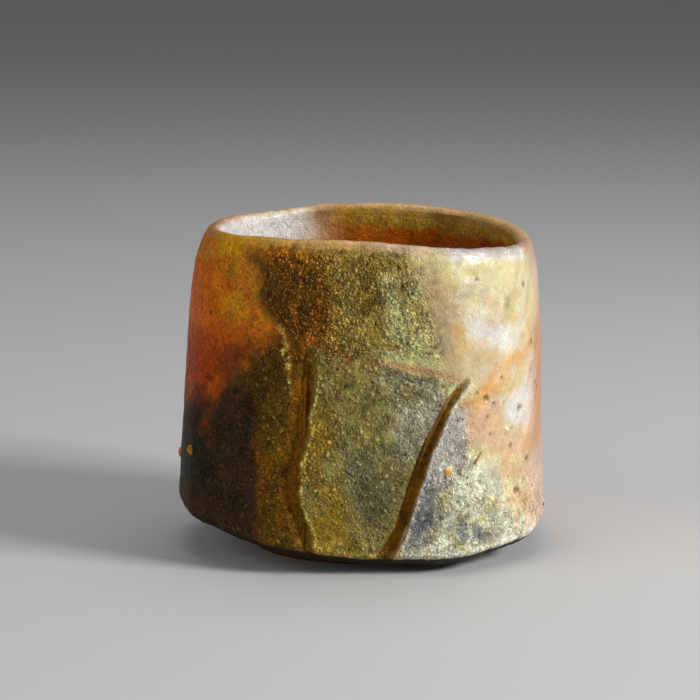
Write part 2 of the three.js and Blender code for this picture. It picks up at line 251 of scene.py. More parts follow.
class Glaze(Enum):
    """Colours of the fired surface, as they would be mixed on a chart."""

    ORANGE = "C4640C"
    OCHRE = "B87410"
    GOLD = "CE9616"
    EMBER = "9A3400"
    MAROON = "703408"
    PLUM = "260E04"
    CHAR = "1E1D10"
    SMOKE = "523A08"
    BRONZE = "664A0A"
    UMBER = "5E4008"
    RUST = "AC600E"
    KHAKI = "A88F44"
    MOSS = "BAB97E"
    DRAB = "90854B"
    SHELL = "A87C54"
    STONE_GREY = "B6B29A"
    SLATE = "6C6A4E"
    AMBER = "9C7C20"
    TREACLE = "8C5A03"
    CREAM = "DED2A0"
    WHITE = "E6E2DA"
    PEARL = "BCB8B8"
    BUTTER = "D6C88A"
    TAN = "CCB080"
    APRICOT = "DAA45A"
    PEACH = "D8AA82"
    SALMON = "CA8248"
    LILAC = "B5996E"
    DOVE = "BCB6B0"
    STRAW = "DFDEC6"
    CRUST = "C8B878"
    CHALK = "FBF9F4"
    BONE = "E2DCB4"
    BEAD = "DCC468"
    STEEL = "70787A"
    PINK = "D4B49E"
    MAUVE = "B4A29C"
    BISQUE = "D4AA78"
    BARE = "7A5030"
    LIVER = "904005"
    OLIVE = "B0872E"

    @property
    def linear(self) -> Array:
        """The colour in linear light."""
        code = np.array([int(self.value[k : k + 2], 16) for k in (0, 2, 4)]) / 255
        return np.where(code <= 0.04045, code / 12.92, ((code + 0.055) / 1.055) ** 2.4)


@dataclass(frozen=True)
class Facet:
    """One flat knife cut: its angle, the share where it runs out, and its depth at the lower edge."""

    angle: float
    top: float
    depth: float


@dataclass(frozen=True)
class Groove:
    """One gouged groove: its size and its path from the upper end down.

    Wander is how far its edge sways, in millimetres. Shoulders are the shares of its width on its left and
    right, spread widens it at its top, third and bottom, the floor is the share of it that is flat, taper is
    the share of its length in which it reaches its depth, and the stain is how much colour the glass gives
    it. Points are how many its line has, and the lines beside it.
    """

    width: float
    depth: float
    path: Line
    wander: float = 0.5
    shoulders: tuple[float, float] = (0.8, 0.4)
    spread: tuple[float, float, float] = (1.4, 1.2, 0.8)
    floor: float = 0.0
    taper: float = 0.2
    stain: float = 1.0
    points: int = 48
    fine_points: int = 80
    side_points: int = 14

    def line(self) -> Array:
        """The path as a fine line on the unrolled wall."""
        return unrolled(curve_through(self.path, self.points))

    def beside(self, side: int, low: float, high: float, margin: float = 0.35) -> Line:
        """A line beside the groove, from the bottom up.

        Args:
            side: 1 for its right and -1 for its left.
            low, high: shares between which the line runs.
            margin: distance from the groove's edge, in millimetres.

        Returns:
            The line's points as angle and share.
        """
        path = curve_through(self.path, self.fine_points)[::-1]
        share = np.linspace(low, high, self.side_points)
        angle = np.interp(share, path[:, 1], path[:, 0])
        reach = side * (self.width / 2 + margin) / DEGREE_MM
        return tuple(zip((angle + reach).tolist(), share.tolist()))


@dataclass(frozen=True)
class Spot:
    """A pit (depth above 0) or a bead (depth below 0) of the surface."""

    angle: float
    height: float
    radius: float
    depth: float


@dataclass(frozen=True)
class Ridge:
    """A line of gathered crust: its height and width, and its path as angles and heights in millimetres."""

    rise: float
    width: float
    path: Line


@dataclass(frozen=True)
class CupForm:
    """The cup's shape in millimetres, as the solid model has it, with the real one's wear and unevenness.

    Lip drops, curls and edge heights are given every 45 degrees from the front towards the right.
    """

    base_half_width: float = 35.0
    base_front: float = 32.0
    base_back: float = 31.35
    lip_half_width: float = 32.6
    lip_front: float = 28.0
    lip_back: float = 30.5
    plan_power: float = 2.4
    lean: float = 0.9
    belly: float = 0.15
    height: float = 62.3
    lip_drops: tuple[float, ...] = (0.8, 2.6, 3.3, 1.3, 0.0, 1.3, 1.1, 0.4)
    curls: tuple[float, ...] = (1.0, 1.0, 1.0, 1.0, 1.0, 1.2, 2.2, 1.3)
    edge_heights: tuple[float, ...] = (3.7, 3.7, 6.6, 6.2, 6.0, 7.2, 9.6, 6.8)
    nick_depth: float = 0.35
    nick_size: float = 5.0
    nick_radius: float = 34.0
    curl_power: float = 14.0
    lip_thickness: float = 3.2
    lip_crown: float = 1.5
    wall_thickness: float = 6.0
    floor: float = 10.0
    rounding: float = 15.0
    bowl_power: float = 2.4
    foot_radius: float = 21.0
    foot_ring: float = 5.0
    foot_recess: float = 1.5
    foot_flare: float = 0.6
    bevel_height: float = 1.6
    bevel_depth: float = 2.2
    undercut: float = 0.6
    facet_softness: float = 0.8
    dents: Dents = ((0.22, 13, 3), (0.1, 5, 4), (0.07, 1.9, 5), (0.06, 0.9, 17))
    bowl_dents: Dents = ((0.25, 9, 35), (0.08, 3, 36))
    lip_dents: Dents = ((0.2, 7, 33), (0.1, 2.5, 34))
    facets: tuple[Facet, ...] = (Facet(-44, 0.68, 1.6), Facet(2, 0.64, 1.5), Facet(42, 0.5, 1.3))
    left_groove: Groove = Groove(
        2.6, 1.3,
        (
            (-18.8, 0.69), (-19.8, 0.54), (-21.0, 0.4), (-23.6, 0.26), (-23.4, 0.18), (-21.4, 0.11),
            (-18.6, 0.03), (-16.0, -0.08),
        ),
        0.45, (1.0, 0.55), (1.15, 1.1, 0.9), 0.1, 0.22, 0.88,
    )
    right_groove: Groove = Groove(
        3.0, 1.4,
        (
            (35.0, 0.58), (28.8, 0.505), (24.3, 0.415), (19.9, 0.31), (16.6, 0.205), (13.6, 0.1),
            (9.6, 0.02), (4.6, -0.08),
        ),
        0.16, (0.56, 0.42), (0.5, 0.72, 1.02), 0.5, 0.06, 1.0,
    )
    ridges: tuple[Ridge, ...] = (
        Ridge(0.4, 0.35, (
            (-30.5, 46.8), (-29.2, 45.2), (-27.6, 43.4), (-27, 41.3), (-25.6, 38.5), (-25.2, 35.4),
            (-24.3, 33),
        )),
        Ridge(0.7, 0.6, ((-28.8, 42.2), (-27.9, 41.2), (-27.3, 40.2), (-26.5, 39.2), (-25.8, 38.0))),
        Ridge(0.3, 0.5, (
            (-25, 7.0), (-18, 5.7), (-10, 4.8), (0, 4.3), (10, 4.0), (25, 3.9), (45, 4.3), (60, 5.2),
            (75, 6.5), (86, 7.1),
        )),
    )
    groove_crust_rise: float = 0.38
    groove_crust_width: float = 0.34
    groove_crust_reach: float = 1.32  # of the groove's own reach, where the crust on its right edge stands
    spots: tuple[Spot, ...] = (
        Spot(42.2, 32.2, 0.75, 0.45), Spot(45.5, 31.0, 0.45, 0.3), Spot(57.2, 29.3, 0.7, 0.4),
        Spot(56.0, 13.8, 0.8, 0.4), Spot(38.6, 33.4, 0.4, 0.25), Spot(49.0, 35.6, 0.4, 0.2),
        Spot(53.0, 22.6, 0.5, 0.25), Spot(61.0, 19.4, 0.6, 0.3), Spot(44.0, 25.5, 0.35, 0.2),
        Spot(51.4, 25.4, 0.8, -0.5), Spot(36.5, 47.0, 0.5, -0.2), Spot(47.0, 45.0, 0.6, -0.15),
        Spot(62.0, 52.0, 0.5, 0.2), Spot(40.0, 54.0, 0.45, 0.2), Spot(-58.0, 47.0, 0.5, 0.15),
        Spot(-70.0, 40.0, 0.5, -0.15), Spot(66.0, 41.0, 0.55, 0.2), Spot(70.0, 33.0, 0.4, 0.2),
    )

    def oval(self, angle: Array, half_width: float, front: float, back: float) -> Array:
        """Radius of the plan: (|sin/a|^n + |cos/b|^n)^(-1/n), with its own depth b for front and back.

        Args:
            angle: angles round the cup.
            half_width, front, back: the plan's reach to the sides, to the front and to the back.

        Returns:
            Radii in millimetres.
        """
        sine, cosine = np.sin(np.radians(angle)), np.cos(np.radians(angle))
        depth = np.where(cosine > 0, front, back)
        powers = np.abs(sine / half_width) ** self.plan_power + np.abs(cosine / depth) ** self.plan_power
        return powers ** (-1 / self.plan_power)

    def thrown(self, angle: Array, share: Array) -> Array:
        """Radius of the wall before it was cut: the base's oval blended into the lip's, with belly and curl.

        Args:
            angle, share: places on the wall.

        Returns:
            low + (high - low) share + belly sin(pi share) - curl share^n, in millimetres.
        """
        low = self.oval(angle, self.base_half_width, self.base_front, self.base_back)
        high = self.oval(angle, self.lip_half_width, self.lip_front, self.lip_back)
        t = np.clip(share, 0, 1)
        curl = around(self.curls, angle) * t**self.curl_power
        return low + (high - low) * share + self.belly * np.sin(np.pi * t) - curl

    def wall_radius(self, angle: Array, share: Array) -> Array:
        """Radius of the outside: the least of the thrown wall and the facets' planes d / cos, softly joined.

        Args:
            angle, share: places on the wall.

        Returns:
            Radii in millimetres.
        """
        radius = self.thrown(angle, share)
        for facet in self.facets:
            turn = np.cos(np.radians(angle - facet.angle))
            middle = np.array(float(facet.angle))
            at_top = self.thrown(middle, np.array(facet.top))
            at_edge = self.thrown(middle, np.array(0.0)) - facet.depth
            cut = (at_edge + (at_top - at_edge) * share / facet.top) / np.maximum(turn, 0.5)
            near = np.maximum(self.facet_softness - np.abs(radius - cut), 0) / self.facet_softness
            joined = np.minimum(radius, cut) - near**2 * self.facet_softness / 4
            radius = np.where(turn < 0.5, radius, joined)
        return radius

    def edge(self, angle: Array) -> Array:
        """Height of the wall's lower edge, with the nicks of the knife.

        Args:
            angle: angles round the cup.

        Returns:
            Heights in millimetres.
        """
        turn = np.radians(angle)
        ring = self.nick_radius * np.stack([np.sin(turn), -np.cos(turn), 0 * turn], -1)
        nicks = layered_noise(ring, self.nick_size, 6, 4, 0.6)
        return around(self.edge_heights, angle) + self.nick_depth * nicks

    def lip(self, angle: Array) -> Array:
        """Height of the lip."""
        return self.height - around(self.lip_drops, angle)

    def level(self, angle: Array, share: Array) -> Array:
        """Height of a share of the wall."""
        low = self.edge(angle)
        return low + (self.lip(angle) - self.lip_crown - low) * share

    def share_of(self, angle: Array, height: Array | float) -> Array:
        """Share of the wall at a height."""
        low = self.edge(angle)
        return (height - low) / (self.lip(angle) - self.lip_crown - low)

    def bowl_radius(self, angle: Array, share: Array) -> Array:
        """Radius of the bowl's side: the thrown wall less a thickness that shrinks towards the lip."""
        thickness = self.wall_thickness + (self.lip_thickness - self.wall_thickness) * share
        return self.thrown(angle, share) - thickness

    def point(self, angle: Array, radius: Array, height: Array, share: Array | float) -> Array:
        """Points in space: (r sin a + lean * share, -r cos a, z).

        Args:
            angle, radius, height: places round the cup's axis.
            share: how far up the wall they are, for its lean.

        Returns:
            Points in millimetres, shape (..., 3).
        """
        turn = np.radians(angle)
        x = radius * np.sin(turn) + self.lean * np.clip(share, 0, 1)
        return np.stack(np.broadcast_arrays(x, -radius * np.cos(turn), height), -1)

    def behind(self, angle: Array, radius: Array, height: Array, share: Array) -> Array:
        """Points at the last and the first column of a grid, for a patch's side that lies in the clay."""
        return self.point(*(values[:, RING_ENDS] for values in (angle, radius, height, share)))

    def gouges(self, angle: Array, share: Array, place: Array) -> list[tuple[Groove, Array, Array, Array]]:
        """Each groove, with wandering distances from its line, its reach to that side, and its depth there.

        Args:
            angle, share: places on the wall.
            place: the same places in space.

        Returns:
            Grooves with distances, positive on the left, and reaches in millimetres, and depths from 0 to 1.
        """
        found = []
        wander = soft_noise(place, 3.0, 11) + 0.5 * soft_noise(place, 1.1, 12)
        for groove in (self.left_groove, self.right_groove):
            gap, along = line_gap(angle * DEGREE_MM, share * SHARE_MM, groove.line())
            full = smooth_step(-0.05, groove.taper, along)
            gap = gap + groove.wander * wander * (0.4 + 0.6 * full)
            sides = np.where(gap > 0, *groove.shoulders)
            reach = groove.width * sides * np.interp(along, (0, 0.3, 1), groove.spread)
            found.append((groove, gap, reach, full))
        return found

    def carved(self, angle: Array, share: Array, place: Array) -> tuple[Array, Array, Array]:
        """Depth of the gouged grooves, and where they are.

        A groove has the section depth * (1 - s(d / reach)), with s a smooth step that begins late, so that
        its floor is broad.

        Args:
            angle, share: places on the wall.
            place: the same places in space.

        Returns:
            Depths in millimetres, a mask from 0 to 1, and how near its left wall a place is, from 0 to 1.
        """
        depth, mask, flank = (np.zeros_like(share) for _ in range(3))
        for groove, gap, reach, full in self.gouges(angle, share, place):
            away = np.abs(gap) / reach
            depth += groove.depth * full * (1 - smooth_step(groove.floor, 1.0, away))
            stained = groove.stain * full * smooth_step(1.25, 0.5 + 0.75 * groove.floor, away)
            # flank: nearness to the groove's left wall, where its colour is darkened as painted shade
            flank = np.where(stained > mask, smooth_step(0.1, 0.9, gap / reach), flank)
            mask = np.maximum(mask, stained)
        return depth, mask, flank

    def crusted(self, angle: Array, height: Array, share: Array, place: Array) -> tuple[Array, Array]:
        """Beads of crust along the ridges and the grooves' right edges, each e^-(d / w)^2 broken by noise.

        Args:
            angle, height, share: places on the wall.
            place: the same places in space.

        Returns:
            Heights in millimetres, and a mask from 0 to 1.
        """
        rise, mask = np.zeros_like(height), np.zeros_like(height)
        sway = 0.3 * soft_noise(place, 1.6, 61)
        lumps = smooth_step(-0.5, 0.1, layered_noise(place, 1.6, 62, 3, 0.75))
        beads, _ = grains(angle * DEGREE_MM, height, 0.6, 0.38, 0.9, 63)
        bead = np.clip(beads / 0.3, 0, 1)
        lines = []
        for ridge in self.ridges:
            gap, along = line_gap(angle * DEGREE_MM, height, np.asarray(ridge.path) * (DEGREE_MM, 1))
            near = np.exp(-(((gap + sway) / ridge.width) ** 2))
            near = near * smooth_step(0, 0.1, along) * smooth_step(1, 0.9, along)
            lines.append((ridge.rise, near))
        for _, gap, reach, full in self.gouges(angle, share, place):
            away = (-gap - self.groove_crust_reach * reach + 0.6 * sway) / self.groove_crust_width
            lines.append((self.groove_crust_rise, np.exp(-(away**2)) * (gap < 0) * full))
        for high, near in lines:
            rise += high * near * lumps * (0.3 + bead)
            mask = np.maximum(mask, near * lumps * (0.4 + 0.6 * bead))
        return rise, mask

    def pitted(self, angle: Array, height: Array) -> tuple[Array, Array]:
        """Pits and beads, each with the section depth * (d^2 / r^2 - 1), and a low rim round each pit.

        Args:
            angle, height: places on the wall.

        Returns:
            Heights in millimetres, and a mask of the pits from 0 to 1.
        """
        rise, mask = np.zeros_like(height), np.zeros_like(height)
        for spot in self.spots:
            gap = np.hypot((angle - spot.angle) * DEGREE_MM, height - spot.height) / spot.radius
            rise -= spot.depth * np.clip(1 - gap**2, 0, 1)
            rise += 0.25 * abs(spot.depth) * np.exp(-(((gap - 1.25) / 0.25) ** 2)) * (spot.depth > 0)
            mask = np.maximum(mask, smooth_step(1.2, 0.6, gap) * (spot.depth > 0))
        return rise, mask


@dataclass(frozen=True)
class Zone:
    """An area of the surface with a soft and ragged edge: most are stained or covered in ash, and a few are
    painted highlight and shadow.

    The outline's corners are angles and heights in millimetres. A zone with a cloud size is broken up into
    clouds of that size, in millimetres, that fill about the given share of it.
    """

    glaze: Glaze
    outline: Line
    soft: float = 1.0
    ragged: float = 1.0
    strength: float = 1.0
    cloud: float = 0.0
    fill: float = 1.0

    def mask(self, angle: Array, height: Array, place: Array, rough: Array) -> Array:
        """How much of the zone's colour lies at each place.

        Args:
            angle, height: places on the wall.
            place: the same places in space.
            rough: a noise that makes the edge ragged.

        Returns:
            Numbers from 0 to the zone's strength.
        """
        corners = np.asarray(self.outline, float)
        middle = corners[:, 0].mean()
        near = (angle - middle + 180) % 360 - 180 + middle
        corners = corners * (DEGREE_MM, 1)
        gap = outline_gap(near * DEGREE_MM, height, corners) + self.ragged * rough
        mask = self.strength * smooth_step(-self.soft, self.soft, gap)
        inside = mask > 0
        if self.cloud and inside.any():
            seed = 200 + int(abs(corners).sum()) % 97
            drift = layered_noise(place[inside], self.cloud, seed, 5, 0.62) + 0.9 * self.fill - 0.45
            mask[inside] *= smooth_step(-0.09 * self.soft, 0.09 * self.soft, drift)
        return mask


@dataclass(frozen=True)
class KilnColours:
    """What the fire left on each surface: the flashing of the clay, the ash and the char.

    The rings are the colours of the wall and of the lip every 45 degrees from the front towards the right.
    A few zones are painted highlight and shadow instead of what the fire left, and the white inside the bowl
    is partly painted light.
    """

    ring: tuple[Glaze, ...] = (
        Glaze.KHAKI, Glaze.CREAM, Glaze.PEACH, Glaze.SALMON,
        Glaze.RUST, Glaze.RUST, Glaze.ORANGE, Glaze.ORANGE,
    )
    lip_ring: tuple[Glaze, ...] = (
        Glaze.BISQUE, Glaze.MAUVE, Glaze.BISQUE, Glaze.BISQUE,
        Glaze.BISQUE, Glaze.BISQUE, Glaze.OCHRE, Glaze.GOLD,
    )
    wipe_slant: tuple[float, float] = (0.55, 0.83)
    wipe_stretch: float = 7.0
    outside: tuple[Zone, ...] = (
        # left flank
        Zone(Glaze.OCHRE, ((-85, 59), (-39, 60.5), (-38, 57.5), (-46.5, 56), (-66, 56)), 2.5, 1.6, 0.8),
        Zone(Glaze.GOLD, (
            (-55, 55.5), (-38, 57.5), (-36, 50.5), (-33, 47.5), (-36, 44.5), (-44, 44.5), (-51, 48),
        ), 3, 3, 0.8, 7, 0.65),
        Zone(Glaze.EMBER, (
            (-104, 36), (-88, 42), (-55.5, 42.5), (-44, 43), (-40, 41.5), (-47, 36.5), (-54.5, 32),
            (-96, 26),
        ), 4, 3, 0.9),
        Zone(Glaze.MAROON, (
            (-52.5, 40), (-42.2, 43.9), (-33.8, 44.8), (-30.5, 44), (-35.5, 41.5), (-41.8, 38.4),
            (-48, 34.7), (-53.2, 32.5), (-57.2, 35.4), (-54, 38),
        ), 2.0, 2.2, 0.8, 3, 0.85),
        Zone(Glaze.PLUM, (
            (-112, 20), (-98, 27.5), (-55, 32), (-54, 23.5), (-58, 15.5), (-96, 6), (-120, 4),
        ), 3.5, 2.8, 1.0),
        Zone(Glaze.SMOKE, (
            (-46, 36.5), (-36, 42.5), (-28, 43.5), (-26, 40), (-24, 32.5), (-24.5, 25.5), (-34, 24),
            (-37.5, 32), (-50, 32.5),
        ), 1.3, 2, 0.95),
        Zone(Glaze.CHAR, (
            (-56, 30.5), (-45, 34), (-37, 32.5), (-33.5, 19.5), (-31.5, 1), (-60, 1), (-94, 3),
            (-87, 15.5), (-58.5, 23),
        ), 2.4, 2.6, 0.95),
        Zone(Glaze.BRONZE, ((-34, 30), (-24, 37), (-21, 20), (-16, 2), (-34, 3)), 1.8, 1.6, 0.98),
        Zone(Glaze.RUST, ((-33, 22), (-29, 22), (-29, 18), (-33, 17.5)), 1.2, 1.5, 0.4),
        Zone(Glaze.RUST, ((-29, 12), (-25, 12), (-25, 8), (-29, 8)), 1.2, 1.5, 0.5),
        Zone(Glaze.RUST, ((-25.2, 33.4), (-23, 33.6), (-22.6, 28), (-24.4, 27)), 0.8, 0.8, 0.9),
        # upper front
        Zone(Glaze.GOLD, ((-60, 63), (-24, 63), (-24, 59.7), (-38, 59.5), (-60, 57)), 1.0, 1.2, 0.8),
        Zone(Glaze.KHAKI, ((-28, 63), (-6, 63), (-6, 59.3), (-28, 59.6)), 1.0, 1.2, 0.8),
        Zone(Glaze.UMBER, (
            (-44.8, 58.8), (-41.5, 57.2), (-38.2, 55), (-37.2, 53), (-38, 51), (-35.8, 49.5),
            (-34, 48), (-29, 46), (-27, 42), (-25, 36), (-21, 33), (-16, 39), (-14, 45), (-11.5, 51),
            (-13, 55.5), (-20, 57), (-30, 58.4),
        ), 1.3, 1.5, 0.92),
        Zone(Glaze.KHAKI, (
            (-17, 60), (13, 59.5), (20, 54.5), (25.5, 43.5), (25, 39), (-16, 40.5), (-12.5, 45), (-10, 52),
            (-13, 56.5),
        ), 2.2, 2.5, 0.95),
        Zone(Glaze.RUST, (
            (-24, 51), (-15, 52.5), (-14, 44), (-18, 40), (-24, 42), (-27, 46.5),
        ), 2, 2.5, 0.7, 4, 0.6),
        Zone(Glaze.RUST, ((-30, 58), (-10, 59), (-10, 53), (-28, 54.5)), 1.6, 1.6, 0.5, 3, 0.45),
        Zone(Glaze.BRONZE, ((-5, 58), (9, 58), (9.5, 44), (-2, 42.5)), 2.5, 2.5, 0.7, 4, 0.55),
        Zone(Glaze.MOSS, ((6, 55), (20, 55.5), (26, 43.5), (26, 39), (9, 40)), 2.2, 2, 0.85, 5, 0.72),
        Zone(Glaze.DRAB, ((-18.5, 42.5), (9.5, 43), (9.5, 35.5), (-19, 35.5)), 2.2, 2.2, 0.8),
        Zone(Glaze.RUST, ((-16, 44), (14, 42), (14, 38.5), (-16, 40)), 1.5, 2.0, 0.6, 3, 0.45),
        # middle facet
        Zone(Glaze.DRAB, ((-19.5, 37), (30, 36), (9, 4), (-21, 4)), 0.9, 1, 0.95),
        Zone(Glaze.BRONZE, ((-21, 39), (-9, 40), (-7, 30), (-12, 22), (-22, 20)), 2.5, 2.5, 0.5, 3, 0.6),
        Zone(Glaze.STONE_GREY, ((6, 37.5), (28.5, 36), (26, 29), (19, 22), (10, 23)), 3, 3, 0.8, 6, 0.7),
        Zone(Glaze.SLATE, ((-7.5, 24.5), (13, 24.5), (12, 14.5), (7.5, 9), (-6, 10.5)), 3.2, 3, 0.8, 7, 0.6),
        Zone(Glaze.AMBER, (
            (-22, 30), (-14, 30), (-9, 18), (-1, 8), (-3, 3), (-21, 3),
        ), 2.4, 2.5, 0.85, 4, 0.72),
        Zone(Glaze.MOSS, ((6, 42), (26, 40.6), (34.5, 38), (33, 37), (22, 38.8), (8, 39.9)), 0.7, 0.6, 0.85),
        Zone(Glaze.SHELL, (
            (10, 39.6), (22, 38.8), (33.5, 37), (33.8, 35.6), (25.8, 36.6), (17, 37.5), (12, 38.3),
        ), 0.7, 0.5, 0.85),
        # painted shadow: slate grey laid just under the pink stripe, and fainter below it
        Zone(Glaze.SLATE, (
            (5, 39.2), (11, 38.3), (17, 37.4), (25.8, 36.6), (24, 35.6), (16, 36.2), (8, 37.2),
        ), 0.6, 0.6, 0.75),
        Zone(Glaze.SLATE, ((7.5, 37.5), (18, 36.5), (19, 34.5), (9, 34.5)), 1.6, 1.5, 0.4),
        # right flank
        Zone(Glaze.LILAC, (
            (17.5, 56), (30.5, 55.5), (36, 50.5), (35, 37), (26, 39), (24, 45.5),
        ), 3, 2.2, 0.9),
        Zone(Glaze.CREAM, ((33, 58), (70, 57), (68, 42), (45, 40.5), (36, 44)), 3, 2.5, 0.8),
        Zone(Glaze.TAN, ((22, 54), (38, 53), (36, 49), (30, 45), (24, 47)), 2, 2, 0.7, 4, 0.55),
        # painted highlight: white band where the lip's shoulder catches the lamp
        Zone(Glaze.WHITE, ((28, 60), (66, 58.5), (66, 56.6), (30, 57.8)), 0.7, 0.9, 0.85),
        Zone(Glaze.BUTTER, (
            (26, 57.2), (38, 57), (53, 57), (53, 55), (42, 54), (28, 54),
        ), 1.0, 1.6, 0.9, 3, 0.75),
        Zone(Glaze.PEARL, ((35, 53), (44.5, 52.5), (42.5, 49.3), (34, 49.8)), 1.4, 1.6, 0.8, 3, 0.7),
        # partly the pale ash's own white, partly a painted highlight for the lamp's sheen on the right flank
        Zone(Glaze.WHITE, (
            (36, 48), (49, 46), (58, 44), (57, 40.5), (42, 40), (37, 43),
        ), 2.2, 2.0, 0.9, 6, 0.8),
        Zone(Glaze.PEARL, (
            (36, 48.7), (50, 48.3), (49.5, 44.2), (40.5, 43.5), (35, 45),
        ), 2.0, 2.0, 0.65, 4, 0.65),
        Zone(Glaze.BUTTER, ((50.2, 48.3), (56, 48.4), (56, 45.5), (51, 45.5)), 0.9, 0.9, 0.95),
        Zone(Glaze.SLATE, ((51.5, 50.4), (53.8, 50.4), (53.5, 48.6), (51.6, 48.6)), 0.7, 0.8, 0.5),
        Zone(Glaze.APRICOT, ((31.5, 46.5), (35, 46), (36.2, 41), (32, 41)), 1.0, 1.2, 0.8),
        Zone(Glaze.LILAC, ((24, 44), (32, 43), (34, 37.5), (27, 38)), 1.6, 1.6, 0.7),
        Zone(Glaze.TAN, ((33, 43), (46, 43), (48, 39), (44, 36.5), (35, 35.5)), 2, 2, 0.8),
        Zone(Glaze.PINK, ((70, 62), (110, 62), (104, 46), (80, 42)), 4, 2.4, 0.7),
        Zone(Glaze.SALMON, (
            (69, 43), (100, 46), (116, 30), (104, 8), (70, 8), (67, 25), (69, 38),
        ), 4.5, 3.2, 0.7),
        Zone(Glaze.APRICOT, (
            (33.2, 31.6), (38.5, 34.7), (45.8, 37.9), (58.2, 40.9), (68, 41.5), (80, 41),
            (80, 38.5), (66, 38.8), (53.8, 36.2), (48.2, 33.1), (40.5, 30.8), (36, 29.5),
        ), 1.3, 1.6, 0.95),
        Zone(Glaze.WHITE, (
            (72, 36.5), (64.5, 35.4), (56, 33.3), (51, 31.5), (49.5, 28), (53.8, 26.3), (62, 25.7), (68, 29),
        ), 1.1, 1.2, 0.95),
        Zone(Glaze.PEACH, (
            (31, 28), (36, 30), (45, 32), (49.5, 30.5), (50, 26), (44, 23.5), (35.8, 24.5),
        ), 1.8, 1.8, 0.9),
        Zone(Glaze.CREAM, ((43, 21), (58, 19.5), (58, 8.5), (47, 11.5)), 2.6, 2.4, 0.7, 6, 0.7),
        Zone(Glaze.PEACH, ((44, 25), (84, 27), (84, 8), (56, 9), (47, 17)), 2.6, 2.5, 0.8, 5, 0.62),
        Zone(Glaze.APRICOT, ((36, 54), (66, 53), (80, 30), (60, 12), (40, 40)), 3, 3, 0.4, 2.4, 0.38),
        Zone(Glaze.WHITE, ((24, 56), (84, 54), (84, 20), (40, 26)), 3, 3, 0.25, 2.8, 0.38),
        Zone(Glaze.SALMON, (
            (70, 43), (88, 47), (112, 42), (120, 30), (104, 20), (66, 20.5), (65, 28),
        ), 4.0, 3.2, 0.75),
        # lower right facet
        Zone(Glaze.DOVE, (
            (26, 29.5), (34, 30), (35, 19.5), (26, 14), (16, 3), (11, 4.5), (20, 18.5),
        ), 1.6, 1.8, 0.92),
        Zone(Glaze.STRAW, (
            (28, 20), (37, 20.5), (47, 17.5), (54, 10.5), (66, 7), (62.5, 3), (13, 1.5), (14, 5),
            (26, 13.5),
        ), 1.8, 2.4, 0.9, 3, 0.62),
        Zone(Glaze.SLATE, ((22, 15.5), (36, 19.5), (44, 10.5), (19.5, 4.5)), 2.2, 2.5, 0.5, 2.2, 0.4),
        Zone(Glaze.STEEL, ((16, 12.5), (23.5, 15.5), (26, 12), (20, 7), (15, 6)), 1.6, 1.6, 0.85),
        Zone(Glaze.STEEL, (
            (30, 9.6), (34, 10.4), (44, 7.4), (50, 6.4), (46, 5.2), (38, 4.8), (31, 6),
        ), 1.2, 1.6, 0.85, 2, 0.75),
        Zone(Glaze.PINK, ((62, 18.5), (84, 20), (102, 16), (112, 10), (108, 2), (62, 2)), 3.0, 2.6, 0.85),
        # far right and back
        Zone(Glaze.CREAM, ((84, 60), (130, 61), (124, 46), (108, 30), (96, 40)), 5, 4, 0.6, 6, 0.5),
        Zone(Glaze.EMBER, ((150, 40), (200, 46), (236, 34), (210, 8), (160, 6)), 6, 4, 0.5, 8, 0.5),
        Zone(Glaze.MAROON, ((170, 26), (232, 22), (250, 2), (160, 2)), 5, 4, 0.5, 7, 0.5),
        Zone(Glaze.OCHRE, (
            (142, 61), (236, 62), (262, 58), (228, 50), (186, 46), (150, 52),
        ), 5, 4, 0.6, 8, 0.55),
        Zone(Glaze.KHAKI, ((116, 60), (176, 61), (164, 45), (140, 36), (122, 44)), 5, 4, 0.5, 6, 0.5),
        Zone(Glaze.PLUM, ((216, 22), (252, 24), (264, 4), (206, 2)), 5, 4, 0.6, 8, 0.6),
        # scratch on the lower right facet
        Zone(Glaze.MAROON, ((37.0, 20.6), (40.0, 22.5), (40.6, 22.2), (37.6, 20.2)), 0.3, 0.2, 1.0),
    )
    inside: tuple[Zone, ...] = (
        Zone(Glaze.TAN, ((192, 66), (330, 66), (316, 50), (290, 36), (196, 36)), 6.0, 3.0, 0.65),
        # partly painted light: pale ash inside the bowl's left, its colour raised near white for the lamp
        # light on that wall
        Zone(Glaze.CHALK, (
            (206, 66), (312, 66), (300, 56), (282, 40), (236, 43), (216, 50), (204, 56.5),
        ), 4.5, 2.6, 1.0),
        Zone(Glaze.STONE_GREY, ((194, 61), (222, 60), (220, 54.5), (196, 56)), 2.5, 1.6, 0.5, 1.8, 0.45),
        Zone(Glaze.OLIVE, ((84, 66), (187, 66), (187, 57.8), (160, 56.5), (84, 55)), 1.2, 1.8, 0.92),
        Zone(Glaze.OLIVE, ((176, 66), (197, 66), (195, 58.0), (176, 57.5)), 4.0, 2.5, 0.8),
        Zone(Glaze.SMOKE, ((90, 66), (206, 66), (202, 57.5), (90, 56.5)), 2.0, 2.0, 0.3, 2.2, 0.4),
        Zone(Glaze.MOSS, ((100, 66), (200, 66), (196, 59.5), (104, 58.5)), 2.0, 1.6, 0.32, 2.0, 0.45),
    )

